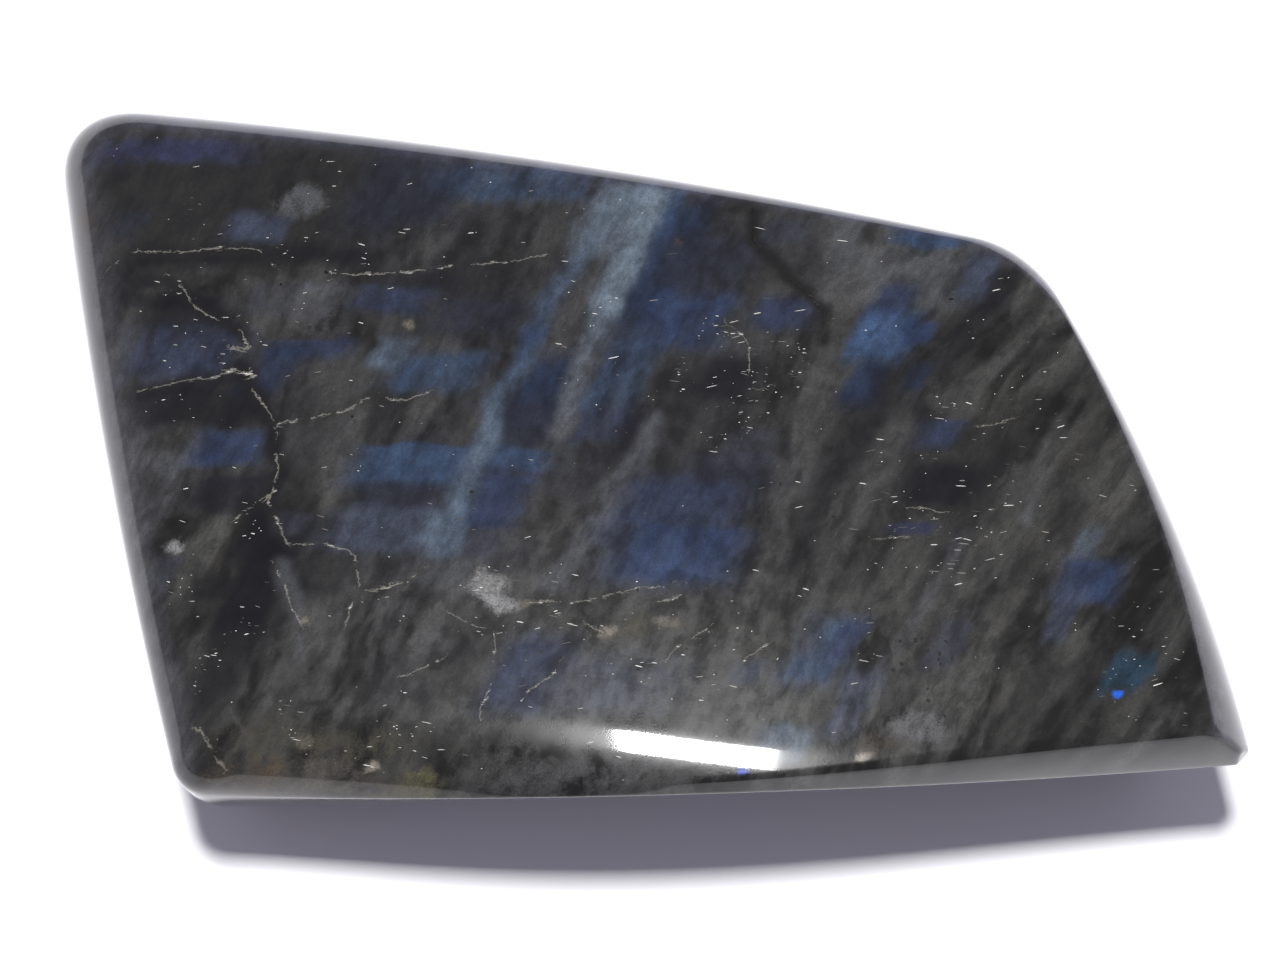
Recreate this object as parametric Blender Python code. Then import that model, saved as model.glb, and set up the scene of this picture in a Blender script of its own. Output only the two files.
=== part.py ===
"""Polished labradorite block: one piece of stone, ground to a tapering four-sided slab.

The widest line round the stone, the girdle, has four gently bulged sides and four corners. Above it
the sides are ground back to the rim of a slightly domed top: as soft rounded edges on the left and at
the back, as a facet on the right, and on the front as a rolled edge that becomes narrow in the middle
and a steep facet at the right. Below the girdle the stone tapers to a smaller flat base. Lengths are
in millimetres and become metres when the mesh is made. +X runs along the stone, +Y from the front to
the back and +Z up; the origin is under the middle, on the base.
"""
import math
from collections import namedtuple

import bmesh
import bpy
import numpy as np
from mathutils import Vector

MM = 0.001
NAME = "labradorite_block"

# A corner of the girdle before it is rounded, the height of the girdle there, how far back from the
# corner the rounding starts on the girdle and on the rim, and the faces round it.
Corner = namedtuple("Corner", "x y girdle cut rim_cut steps")
FAR_LEFT = Corner(x=-63.6, y=40.0, girdle=14.0, cut=9.7, rim_cut=6.0, steps=8)
NEAR_LEFT = Corner(x=-44.1, y=-38.3, girdle=17.5, cut=2.7, rim_cut=5.0, steps=7)
NEAR_RIGHT = Corner(x=61.8, y=-35.0, girdle=17.2, cut=0.5, rim_cut=0.5, steps=3)
FAR_RIGHT = Corner(x=42.1, y=20.6, girdle=14.5, cut=3.5, rim_cut=10.0, steps=9)
CORNERS = (FAR_LEFT, NEAR_LEFT, NEAR_RIGHT, FAR_RIGHT)

# A side from its corner of the same number to the next, anticlockwise. The bulge is outward and the
# arch lifts the girdle between its ends. The widths are ground away between girdle and rim, the flare is extra
# width that fades from the start, and the heel is extra width that comes towards the end. An edge is
# flat at roundness 0 and a quarter of an ellipse at 1; it changes from start to end with the haste,
# and the heel adds its own. The undercut is the base's distance inwards.
Side = namedtuple("Side", "bulge arch width_start width_end flare heel round_start round_end heel_round haste "
                          "undercut steps")
LEFT = Side(1.2, 0.0, 8.5, 7.0, 0.0, 0.0, 1.0, 1.0, 0.0, 1.0, 6.5, 20)
FRONT = Side(1.5, 5.2, 0.8, 0.8, 4.9, 0.75, 1.0, 0.0, 0.35, 6.0, 8.5, 34)
RIGHT = Side(2.9, 0.0, 4.8, 2.2, 0.0, 0.0, 0.3, 0.8, 0.0, 1.0, 7.0, 18)
BACK = Side(2.1, 0.0, 3.8, 9.0, 0.0, 0.0, 1.0, 1.0, 0.0, 1.0, 6.5, 26)
SIDES = (LEFT, FRONT, RIGHT, BACK)
FLARE_HASTE = 7.0
HEEL_SPAN = (0.5, 0.85)
ARCH_PEAK = 2.5             # how much the arch keeps to its highest place
ARCH_LEAN = 0.8             # puts the highest place of the arch before the middle of a side
ARCH_REACHES = 0.28         # distance that the girdle goes outwards for each mm that the arch lifts it
LOWER_CALM = 0.4            # below the girdle the roundness changes with this share of the haste
HANDLE = 0.6                # reach of a rounded corner's curve towards the unrounded corner

# The top: height in the middle, rise to the right, and fall of the dome at its reach from the middle
TOP_HEIGHT = 24.4
TOP_RISE = 0.012
DOME_FALL = (1.2, 0.3)
DOME_REACH = (60.0, 38.0)
DOME_MIDDLE = (0.8, -2.4)
# The top rolls over towards the front edge: its width at the left and right, where along the stone
# it narrows, how sharply it bends for each mm, and where along the stone the bend eases
ROLL_WIDTH = (8.0, 1.6)
ROLL_NARROWS = (-20.0, 34.0)
ROLL_BEND = (0.0625, 0.028)
ROLL_BEND_SPAN = (-44.0, -9.0)

# A small chip has broken the tip of the near right corner
CHIP_DEPTH = 0.9
CHIP_DIRECTION = (0.74, -0.66, 0.12)

LOWER_RINGS = 5
UPPER_RINGS = 6
CROWN_RINGS = 8
CREASE_ANGLE = math.radians(22.0)

STONE_COLOUR = (0.035, 0.038, 0.042, 1.0)
STONE_ROUGHNESS = 0.12


def between(start, end, t, haste=1.0):
    """Value that goes from start to end as t goes from 0 to 1, early if haste is over 1."""
    return end + (start - end) * (1.0 - min(max(t, 0.0), 1.0)) ** haste


def smooth(value, low, high):
    """Smooth step from 0 at low to 1 at high."""
    t = np.clip((value - low) / (high - low), 0.0, 1.0)
    return t * t * (3.0 - 2.0 * t)


def place(index):
    """Plan position of a corner, counted round the stone."""
    corner = CORNERS[index % 4]
    return Vector((corner.x, corner.y))


def arch_rise(index, t):
    """Height that the arch adds to the girdle at t along a side."""
    leaning = np.clip(t, 0.0, 1.0) ** ARCH_LEAN
    return SIDES[index].arch * (4.0 * leaning * (1.0 - leaning)) ** ARCH_PEAK


def side_point(index, t, inset):
    """Point at t along a bulged side, moved inwards by inset."""
    along = place(index + 1) - place(index)
    outward = Vector((along.y, -along.x)).normalized()
    bulge = SIDES[index].bulge * 4.0 * t * (1.0 - t) + ARCH_REACHES * arch_rise(index, t)
    return place(index) + along * t + outward * (bulge - inset)


def corner_angle(index):
    """Angle inside a corner."""
    here = place(index)
    return (place(index - 1) - here).angle(place(index + 1) - here)


def reach_past_corner(index, own, other):
    """How far along a side inset by own its neighbour, inset by other, crosses it."""
    angle = corner_angle(index)
    return (other + own * math.cos(angle)) / math.sin(angle)


def side_marks(index, insets, cuts):
    """Places t along a side between the rounded corners at its two ends."""
    after = (index + 1) % 4
    length = (place(index + 1) - place(index)).length
    start = cuts[index] + reach_past_corner(index, insets[index](0.0), insets[index - 1](1.0))
    end = cuts[after] + reach_past_corner(after, insets[index](1.0), insets[after](0.0))
    return np.linspace(start / length, 1.0 - end / length, SIDES[index].steps + 1)


def corner_curve(arriving, leaving, steps):
    """Points between two sides, on the curve that touches both."""
    start, start_way = arriving[-1], (arriving[-1] - arriving[-2]).normalized()
    end, end_way = leaving[0], (leaving[1] - leaving[0]).normalized()
    gap = end - start
    turn = start_way.cross(end_way)
    start_handle = start + start_way * HANDLE * gap.cross(end_way) / turn
    end_handle = end - end_way * HANDLE * start_way.cross(gap) / turn
    points = []
    for step in range(1, steps):
        u = step / steps
        v = 1.0 - u
        points.append(start * v ** 3 + start_handle * 3 * v * v * u
                      + end_handle * 3 * v * u * u + end * u ** 3)
    return points


def outline(insets, cuts):
    """Closed outline with each side inset by a function of t, as an array of plan points."""
    runs = [[side_point(index, t, insets[index](t)) for t in side_marks(index, insets, cuts)]
            for index in range(4)]
    points = []
    for index in range(4):
        points += corner_curve(runs[index - 1], runs[index], CORNERS[index].steps)
        points += runs[index]
    return np.array([tuple(point) for point in points])


def round_outline(side_value):
    """Value at every outline point: side_value(index, t) on sides, blended smoothly round corners."""
    values = []
    for index in range(4):
        before, after = side_value((index - 1) % 4, 1.0), side_value(index, 0.0)
        for step in range(1, CORNERS[index].steps):
            u = step / CORNERS[index].steps
            values.append(before + (after - before) * u * u * (3.0 - 2.0 * u))
        values += [side_value(index, t) for t in np.linspace(0.0, 1.0, SIDES[index].steps + 1)]
    return np.array(values)


def ground_width(index):
    """Width ground away along a side between the girdle and the rim, as a function of t."""
    side = SIDES[index]
    return lambda t: (between(side.width_start, side.width_end, t) + between(side.flare, 0.0, t, FLARE_HASTE)
                      + side.heel * smooth(t, *HEEL_SPAN))


def top_height(points):
    """Height of the polished top over plan points."""
    x, y = points[:, 0], points[:, 1]
    across = (x - DOME_MIDDLE[0]) / DOME_REACH[0]
    deep = (y - DOME_MIDDLE[1]) / DOME_REACH[1]
    dome = TOP_HEIGHT + TOP_RISE * x - DOME_FALL[0] * across ** 2 - DOME_FALL[1] * deep ** 2
    along = np.clip((x - NEAR_LEFT.x) / (NEAR_RIGHT.x - NEAR_LEFT.x), 0.0, 1.0)
    edge = NEAR_LEFT.y + (NEAR_RIGHT.y - NEAR_LEFT.y) * along - FRONT.bulge * 4.0 * along * (1.0 - along)
    edge -= ARCH_REACHES * arch_rise(SIDES.index(FRONT), along)
    edge += FRONT.width_start + FRONT.heel * smooth(along, *HEEL_SPAN)
    width = ROLL_WIDTH[0] + (ROLL_WIDTH[1] - ROLL_WIDTH[0]) * smooth(x, *ROLL_NARROWS)
    bend = np.interp(x, ROLL_BEND_SPAN, ROLL_BEND)
    near = np.clip(width - (y - edge), 0.0, width)
    return dome - bend * near ** 2 / 2.0


def roundness_round(calm):
    """Roundness of the edge at every outline point."""
    return round_outline(lambda index, t: between(SIDES[index].round_start, SIDES[index].round_end,
                                                  t, max(1.0, SIDES[index].haste * calm))
                         + SIDES[index].heel_round * smooth(t, *HEEL_SPAN))


def girdle_height(index, t):
    """Height of the girdle at t along a side."""
    level = between(CORNERS[index].girdle, CORNERS[(index + 1) % 4].girdle, t)
    return level + arch_rise(index, t)


def edge_profile(fraction, roundness):
    """Inward and upward share of an edge at a fraction of its way, flat or round by roundness."""
    inward, upward = 1.0 - math.cos(fraction * math.pi / 2), math.sin(fraction * math.pi / 2)
    return (1.0 - roundness) * fraction + roundness * inward, (1.0 - roundness) * fraction + roundness * upward


def stone_rings():
    """Rings of points from the base over the girdle and the rim to the middle of the top."""
    girdle = outline([lambda t: 0.0] * 4, [corner.cut for corner in CORNERS])
    rim = outline([ground_width(index) for index in range(4)], [corner.rim_cut for corner in CORNERS])
    undercuts = [lambda t, side=side: side.undercut for side in SIDES]
    base = outline(undercuts, [corner.rim_cut for corner in CORNERS])
    height = round_outline(girdle_height)
    rise = top_height(rim) - height
    upper_roundness, lower_roundness = roundness_round(1.0), roundness_round(LOWER_CALM)

    rings = []
    for step in range(LOWER_RINGS, 0, -1):
        inward, downward = edge_profile(step / LOWER_RINGS, lower_roundness)
        plan = girdle + (base - girdle) * inward[:, None]
        rings.append(np.column_stack([plan, height * (1.0 - downward)]))
    for step in range(UPPER_RINGS + 1):
        inward, upward = edge_profile(step / UPPER_RINGS, upper_roundness)
        plan = girdle + (rim - girdle) * inward[:, None]
        rings.append(np.column_stack([plan, height + rise * upward]))
    middle = rim.mean(axis=0)
    for step in range(1, CROWN_RINGS):
        plan = rim + (middle - rim) * step / CROWN_RINGS
        rings.append(np.column_stack([plan, top_height(plan)]))
    return rings, np.append(middle, top_height(middle[None, :]))


def close_with_fan(bm, ring, centre):
    """Cover a ring with triangles that meet in its centre."""
    hub = bm.verts.new(Vector(centre) * MM)
    for here, after in zip(ring, ring[1:] + ring[:1]):
        bm.faces.new((here, after, hub))


def skin(rings, crown_middle):
    """Closed mesh over the rings, from the flat base to the middle of the top."""
    bm = bmesh.new()
    loops = [[bm.verts.new(Vector(point) * MM) for point in ring] for ring in rings]
    for lower, upper in zip(loops, loops[1:]):
        for here in range(len(lower)):
            after = (here + 1) % len(lower)
            bm.faces.new((lower[here], lower[after], upper[after], upper[here]))
    close_with_fan(bm, loops[-1], crown_middle)
    close_with_fan(bm, loops[0][::-1], rings[0].mean(axis=0))
    bmesh.ops.recalc_face_normals(bm, faces=bm.faces)
    return bm


def chip_tip(bm):
    """Break the sharp near right corner off along a small plane."""
    direction = Vector(CHIP_DIRECTION).normalized()
    tip = max(bm.verts, key=lambda vert: vert.co.dot(direction)).co
    cut = bmesh.ops.bisect_plane(bm, geom=bm.verts[:] + bm.edges[:] + bm.faces[:], clear_outer=True,
                                 plane_co=tip - direction * CHIP_DEPTH * MM, plane_no=direction)
    rim = [item for item in cut["geom_cut"] if isinstance(item, bmesh.types.BMEdge)]
    bmesh.ops.contextual_create(bm, geom=rim)


def stand_on_origin(bm):
    """Move the stone so that the origin is under the middle of its box."""
    low = Vector([min(vert.co[axis] for vert in bm.verts) for axis in range(3)])
    high = Vector([max(vert.co[axis] for vert in bm.verts) for axis in range(3)])
    middle = (low + high) / 2.0
    bmesh.ops.translate(bm, verts=bm.verts, vec=(-middle.x, -middle.y, -low.z))


def stone_material():
    """Dark polished stone."""
    material = bpy.data.materials.new("polished_labradorite")
    material.use_nodes = True
    surface = material.node_tree.nodes["Principled BSDF"]
    surface.inputs["Base Color"].default_value = STONE_COLOUR
    surface.inputs["Roughness"].default_value = STONE_ROUGHNESS
    surface.inputs["Metallic"].default_value = 0.0
    return material


def make_stone():
    """The stone as one object with its mesh in place."""
    bm = skin(*stone_rings())
    chip_tip(bm)
    stand_on_origin(bm)
    mesh = bpy.data.meshes.new(NAME)
    bm.to_mesh(mesh)
    bm.free()
    mesh.shade_smooth()
    mesh.set_sharp_from_angle(angle=CREASE_ANGLE)
    mesh.materials.append(stone_material())
    stone = bpy.data.objects.new(NAME, mesh)
    bpy.context.scene.collection.objects.link(stone)
    return stone


def main():
    for old in list(bpy.data.objects):
        bpy.data.objects.remove(old, do_unlink=True)
    make_stone()


main()
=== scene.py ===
"""Polished labradorite block with its blue flashes, veins and stains, on a pale floor.

The form is the ground and polished one of the solid part, with finer faces and softened edges. The
markings are laid out in millimetres on the plan of the stone and follow two directions in it:
the lamellae, which lean across the top, and the growth bands, which lie nearly level.
"""
import math
from collections import namedtuple

import bpy
import numpy as np
from bpy.props import FloatProperty, FloatVectorProperty, PointerProperty
from mathutils import Matrix, Vector, noise


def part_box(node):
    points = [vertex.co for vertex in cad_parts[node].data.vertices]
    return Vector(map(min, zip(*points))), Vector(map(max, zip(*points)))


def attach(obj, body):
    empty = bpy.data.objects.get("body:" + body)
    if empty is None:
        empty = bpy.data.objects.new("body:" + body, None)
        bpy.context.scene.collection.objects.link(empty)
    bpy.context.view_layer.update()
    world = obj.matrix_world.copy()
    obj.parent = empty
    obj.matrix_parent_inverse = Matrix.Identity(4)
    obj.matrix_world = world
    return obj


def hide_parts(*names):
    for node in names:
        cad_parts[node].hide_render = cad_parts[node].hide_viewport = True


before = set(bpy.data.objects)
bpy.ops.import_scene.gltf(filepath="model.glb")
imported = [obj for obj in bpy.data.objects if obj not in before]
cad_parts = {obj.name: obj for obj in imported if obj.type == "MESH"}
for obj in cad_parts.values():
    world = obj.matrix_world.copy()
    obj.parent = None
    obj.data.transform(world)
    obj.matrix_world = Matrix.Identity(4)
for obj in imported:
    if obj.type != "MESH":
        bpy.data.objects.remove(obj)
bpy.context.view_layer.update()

bl_info = {
    "name": "Labradorite Block",
    "version": (1, 0, 0),
    "blender": (4, 5, 0),
    "location": "3D View > Sidebar > Labradorite",
    "description": "Builds the polished labradorite block and the floor, lamps and camera round it",
    "category": "Add Mesh",
}

MM = 0.001
NODE = "labradorite_block"

# A corner of the girdle, the widest line, before it is rounded: its place, the height of the girdle,
# how far back the rounding starts on the girdle and on the rim of the top, and its faces.
Corner = namedtuple("Corner", "x y girdle cut rim_cut steps")
FAR_LEFT = Corner(x=-63.6, y=40.0, girdle=14.0, cut=9.7, rim_cut=6.0, steps=24)
NEAR_LEFT = Corner(x=-44.1, y=-38.3, girdle=17.5, cut=2.7, rim_cut=5.0, steps=20)
NEAR_RIGHT = Corner(x=61.8, y=-35.0, girdle=17.2, cut=0.5, rim_cut=0.5, steps=6)
FAR_RIGHT = Corner(x=42.1, y=20.6, girdle=14.5, cut=3.5, rim_cut=10.0, steps=30)
CORNERS = (FAR_LEFT, NEAR_LEFT, NEAR_RIGHT, FAR_RIGHT)

# A side from its corner of the same number to the next, anticlockwise: outward bulge, lift of the
# girdle half-way, width ground away at start and end, extra width at the start (flare) and towards the
# end (heel), roundness of the edge at start and end and what the heel adds, how early it changes,
# distance inwards at the base, and faces.
Side = namedtuple("Side", "bulge arch width_start width_end flare heel round_start round_end heel_round "
                          "haste undercut steps")
LEFT = Side(1.2, 0.0, 8.5, 7.0, 0.0, 0.0, 1.0, 1.0, 0.0, 1.0, 6.5, 158)
FRONT = Side(1.5, 5.2, 0.8, 0.8, 4.9, 0.75, 1.0, 0.0, 0.35, 6.0, 8.5, 287)
RIGHT = Side(2.9, 0.0, 4.8, 2.2, 0.0, 0.0, 0.3, 0.8, 0.0, 1.0, 7.0, 162)
BACK = Side(2.1, 0.0, 3.8, 9.0, 0.0, 0.0, 1.0, 1.0, 0.0, 1.0, 6.5, 273)
SIDES = (LEFT, FRONT, RIGHT, BACK)
FLARE_HASTE = 7.0
HEEL_SPAN = (0.5, 0.85)
ARCH_PEAK = 2.5             # how much the arch keeps to its highest place
ARCH_LEAN = 0.8             # puts the highest place of the arch before the middle of a side
ARCH_REACHES = 0.28         # distance that the girdle goes outwards for each mm that the arch lifts it
LOWER_CALM = 0.4
HANDLE = 0.6

# The top: height in the middle, rise to the right, fall of the dome at its reach, roll to the front
TOP_HEIGHT = 24.4
TOP_RISE = 0.012
DOME_FALL = (1.2, 0.3)
DOME_REACH = (60.0, 38.0)
DOME_MIDDLE = (0.8, -2.4)
# Its width at the left and right, where along the stone it narrows, and how sharply it bends per mm
ROLL_WIDTH = (8.0, 1.6)
ROLL_NARROWS = (-20.0, 34.0)
ROLL_BEND = (0.0625, 0.028)
ROLL_BEND_SPAN = (-44.0, -9.0)

# Width over which the arris round the top is rounded off, by the way along each side
RIM_SOFTNESS = (((0.0, 0.4), (1.0, 0.4)),
                ((0.0, 0.4), (0.3, 0.3), (0.55, 0.3), (0.72, 1.0), (0.9, 0.9), (1.0, 0.35)),
                ((0.0, 0.35), (0.15, 0.5), (0.4, 1.5), (1.0, 1.0)),
                ((0.0, 0.6), (1.0, 0.6)))

CHIP_DIRECTION = (0.74, -0.66, 0.12)
BASE_SHARES = (0.12, 0.3, 0.48, 0.64, 0.78, 0.9)
LOWER_STEPS = 8
UPPER_STEPS = 10

# The lamellae lean at this angle from +X, and the growth bands fall a little to the right
LAMELLA_ANGLE = math.radians(64.5)
LEAN = 1.0 / math.tan(LAMELLA_ANGLE)
BAND_FALL = 0.07
# The markings go down into the stone along a dip, so the sides and the base cut them elsewhere
DIP = (0.55, 0.35)

# Tones of the polished face as seen under the lamp, as red, green and blue from 0 to 255
BLACK = (27, 26, 26)
# Painted reflections on the rim, by the side that it faces: far, right and left
REFLECTED_LILAC = (76, 79, 104)
REFLECTED_PEARL = (100, 99, 108)
REFLECTED_GREY = (86, 86, 90)
SHADE = (43, 43, 45)
INK = (36, 36, 44)
INDIGO = (52, 56, 80)
NAVY = (45, 48, 59)
DEEP = (42, 51, 71)
BLUE = (50, 58, 80)
VIVID = (48, 61, 90)
BRIGHT = (64, 84, 114)
STEEL = (56, 71, 94)
DUSK = (59, 61, 70)
HAZE = (69, 76, 93)
TEAL = (42, 62, 78)
PALE_TEAL = (86, 98, 112)
MIST = (104, 115, 126)
ASH = (88, 90, 94)
SMOKE = (72, 72, 72)
OLIVE = (78, 76, 63)
UMBER = (72, 64, 56)
GOLD = (104, 90, 66)
BEIGE = (112, 108, 98)
CREAM = (168, 162, 146)
WHITE = (158, 158, 157)
RED = (84, 60, 54)
CLOUD = (104, 104, 106)
MOSS = (100, 98, 72)
KHAKI = (88, 82, 66)
SAND = (98, 91, 84)
BROWN = (84, 74, 64)
PEBBLE = (96, 92, 86)
# Tones of painted glints of bright blue light
GLINT_AZURE = (40, 110, 230)
GLINT_PALE_AZURE = (70, 110, 230)
GROUND = (62, 61, 59)
# Tones of the ground between the patches, of its streaks, of cracks, veins, slivers and pits
GROUND_DARK = (35, 35, 35)
GROUND_LIGHT = (62, 62, 61)
WISP = (88, 88, 86)
STREAK = (78, 78, 75)
FINE_LINE = (34, 34, 34)
# Painted shade in a wide band along the cracks
CRACK_SHADE = (38, 37, 36)
CRACK_LINE = (28, 27, 27)
VEIN_SEAM = (48, 47, 46)
VEIN_LINE = (132, 129, 120)
# Painted glints in short dashes along the veins
VEIN_BEAD_GLINT = (226, 224, 216)
# Painted glints of the slivers, dull and bright
GLINT_DULL = (84, 83, 78)
GLINT_BRIGHT = (236, 234, 226)
PIT = (30, 30, 32)

# A patch has level ends and sides that lean with the lamellae. Its crisp end is 1 far, -1 near or 0.
Patch = namedtuple("Patch", "x y width height tone strength crisp", defaults=(0,))
ZONES = (
    Patch(-40.0, 27.5, 36.0, 15.0, SHADE, 0.75),
    Patch(-8.0, 8.0, 50.0, 34.0, NAVY, 0.45),
    Patch(-3.0, -29.0, 38.0, 9.0, ASH, 0.3),
    Patch(-8.0, -17.5, 24.0, 7.0, ASH, 0.3),
    Patch(35.0, -11.0, 24.0, 24.0, SHADE, 0.4),
    Patch(-4.0, -12.0, 44.0, 14.0, NAVY, 0.4),
    Patch(27.0, 4.0, 16.0, 26.0, NAVY, 0.3),
    Patch(-40.2, 23.8, 28.0, 14.0, SHADE, 0.7),
    Patch(7.0, -0.8, 10.0, 12.0, SHADE, 0.55),
    Patch(25.2, -2.5, 9.1, 9.0, SHADE, 0.6),
    Patch(34.1, -7.4, 9.0, 10.8, SHADE, 0.7),
    Patch(29.2, -20.2, 17.7, 8.4, SMOKE, 0.3),
    Patch(43.5, -30.0, 13.0, 9.0, SHADE, 0.6),
    Patch(-38.0, -22.0, 9.0, 20.0, SHADE, 0.5),
    Patch(18.5, 20.4, 9.4, 6.4, SMOKE, 0.55),
    Patch(29.2, 15.0, 15.0, 7.0, ASH, 0.6),
    Patch(-24.1, -23.0, 17.8, 17.2, ASH, 0.4),
    Patch(-1.9, -21.0, 26.7, 8.4, SMOKE, 0.5),
    Patch(-53.0, 7.1, 2.9, 15.8, SMOKE, 0.5),
    Patch(-47.6, -7.9, 6.5, 12.0, ASH, 0.6),
    Patch(-50.6, -4.0, 3.2, 26.0, ASH, 0.75),
    Patch(-44.7, 12.2, 9.4, 3.4, BLACK, 0.8),
    Patch(-35.8, -13.4, 4.5, 6.1, BLACK, 0.85),
    Patch(-46.5, 13.6, 11.5, 1.5, BLACK, 0.75),
    Patch(-42.7, 1.2, 14.3, 5.0, BLACK, 0.9),
    Patch(-23.1, 15.2, 9.8, 1.6, BLACK, 0.6),
    Patch(-15.9, 15.1, 9.1, 4.3, BLACK, 0.5),
    Patch(10.1, 3.5, 5.2, 4.5, BLACK, 0.8),
    Patch(-35.4, -17.4, 4.0, 14.0, BLACK, 0.95),
    Patch(-40.3, -18.5, 3.8, 2.0, BLACK, 0.7),
    Patch(38.5, 13.7, 2.8, 4.2, BLACK, 0.6),
    Patch(42.1, 7.1, 3.8, 4.2, BLACK, 0.55),
    Patch(31.4, -8.3, 6.4, 4.6, BLACK, 0.85),
    Patch(44.1, -12.3, 2.2, 5.6, BLACK, 0.6),
    Patch(56.1, -32.0, 2.4, 3.0, BLACK, 0.7),
    Patch(-44.0, 16.8, 3.3, 2.8, SMOKE, 0.7),
    Patch(-39.2, 14.2, 3.0, 3.8, SMOKE, 0.6),
    Patch(-31.6, 12.9, 4.8, 3.7, ASH, 0.6),
    Patch(-28.8, 4.4, 5.2, 5.4, SMOKE, 0.8),
    Patch(-29.4, -17.0, 4.5, 5.0, SHADE, 0.8),
    Patch(-39.4, -28.0, 5.0, 14.0, BLACK, 0.55),
    Patch(-14.5, -24.5, 4.0, 6.0, SHADE, 0.6),
    Patch(-20.0, -28.0, 7.0, 5.0, SHADE, 0.45),
)
FLASHES = (
    Patch(-48.4, 31.7, 16.5, 2.8, INDIGO, 0.8),
    Patch(-52.0, 22.5, 2.3, 3.4, NAVY, 0.7),
    Patch(-38.2, 21.9, 4.8, 3.2, HAZE, 0.8),
    Patch(-22.1, 25.4, 11.0, 8.9, NAVY, 0.8),
    Patch(-36.4, 13.4, 4.8, 3.9, DUSK, 0.7),
    Patch(-24.1, 12.8, 6.4, 2.7, BLUE, 0.8),
    Patch(-44.9, 7.5, 11.9, 6.0, BLUE, 0.8),
    Patch(-32.3, 7.6, 8.4, 2.0, BLUE, 0.8),
    Patch(-35.8, 5.4, 3.8, 5.4, DEEP, 0.8),
    Patch(-23.9, 6.8, 2.5, 3.6, PALE_TEAL, 0.8),
    Patch(-19.2, 4.5, 8.0, 4.5, STEEL, 0.8),
    Patch(-10.5, 26.6, 15.1, 4.7, STEEL, 0.75),
    Patch(3.1, 16.9, 6.8, 15.6, DEEP, 0.9),
    Patch(8.1, 16.8, 9.4, 6.0, NAVY, 0.85),
    Patch(6.1, 10.0, 7.9, 6.0, VIVID, 0.75),
    Patch(16.1, 10.6, 5.1, 3.6, BLUE, 0.85),
    Patch(16.5, 19.9, 4.0, 2.8, DUSK, 0.8),
    Patch(-15.8, 10.8, 9.1, 4.4, NAVY, 0.8),
    Patch(-8.8, 2.0, 4.1, 7.8, DEEP, 0.95),
    Patch(-0.7, 3.8, 4.9, 8.1, STEEL, 0.7),
    Patch(31.3, 19.7, 7.8, 2.3, STEEL, 0.9),
    Patch(36.2, 15.1, 2.3, 5.2, HAZE, 0.9),
    Patch(27.2, 12.2, 3.3, 3.6, BLUE, 0.9),
    Patch(26.1, 8.0, 5.2, 6.0, BRIGHT, 0.9),
    Patch(29.9, 8.5, 2.3, 2.4, VIVID, 0.8),
    Patch(24.4, 2.6, 3.3, 4.8, DEEP, 0.9),
    Patch(29.6, 3.5, 1.9, 3.0, DEEP, 0.9),
    Patch(31.2, -2.8, 4.0, 2.6, BLUE, 0.8),
    Patch(-39.8, -3.4, 5.8, 3.5, VIVID, 0.8),
    Patch(-39.4, -8.4, 7.6, 4.0, INK, 0.9),
    Patch(-33.3, -11.7, 2.7, 2.0, DUSK, 0.8),
    Patch(-21.4, -5.9, 11.3, 4.4, STEEL, 0.95, 1),
    Patch(-22.1, -9.3, 9.5, 2.9, NAVY, 0.85),
    Patch(-24.1, -12.8, 10.7, 4.3, HAZE, 0.75),
    Patch(-18.3, -12.7, 3.5, 2.4, PALE_TEAL, 0.8),
    Patch(-45.2, -16.1, 2.4, 3.4, DUSK, 0.9),
    Patch(-10.2, -1.4, 6.8, 5.6, NAVY, 0.9),
    Patch(-11.1, -5.2, 6.0, 2.1, STEEL, 0.9, 1),
    Patch(-13.0, -9.4, 5.8, 5.8, BLUE, 0.95, -1),
    Patch(-15.0, -14.0, 5.1, 2.8, DUSK, 0.9),
    Patch(-2.7, -1.8, 3.9, 3.8, BLUE, 0.6),
    Patch(0.9, -3.3, 3.4, 5.9, INK, 0.8),
    Patch(-2.1, -12.8, 2.7, 3.2, HAZE, 0.7),
    Patch(5.7, -10.2, 11.2, 4.9, BLUE, 0.85, -1),
    Patch(5.0, -15.8, 10.9, 6.2, VIVID, 0.9, 1),
    Patch(11.2, -6.8, 7.3, 2.8, NAVY, 0.85),
    Patch(12.4, -4.5, 4.8, 3.6, DUSK, 0.7),
    Patch(-9.5, -28.0, 6.4, 8.1, BLUE, 0.85),
    Patch(-0.2, -29.1, 11.3, 5.9, HAZE, 0.6),
    Patch(19.0, -25.9, 5.4, 7.2, STEEL, 0.9),
    Patch(21.9, -24.9, 1.8, 5.0, BLUE, 0.9),
    Patch(12.0, -27.7, 2.5, 2.3, HAZE, 0.7),
    Patch(22.2, -30.9, 3.2, 7.3, HAZE, 0.8),
    Patch(28.3, -13.0, 4.1, 0.9, INDIGO, 0.9),
    Patch(32.9, -15.0, 1.1, 3.2, DUSK, 0.9),
    Patch(46.0, -18.4, 6.0, 4.8, VIVID, 0.85),
    Patch(46.0, -14.4, 1.8, 3.7, PALE_TEAL, 0.6),
    Patch(43.1, -21.9, 2.1, 5.6, HAZE, 0.8),
    Patch(49.3, -27.4, 3.4, 4.4, TEAL, 0.9),
    Patch(31.7, -25.2, 2.6, 5.6, DUSK, 0.9),
    Patch(15.7, -35.0, 4.6, 3.2, PALE_TEAL, 0.8),
    Patch(-0.6, 22.0, 7.0, 8.5, MIST, 0.7),
    Patch(1.5, 24.0, 5.0, 4.0, PALE_TEAL, 0.8),
)

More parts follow.
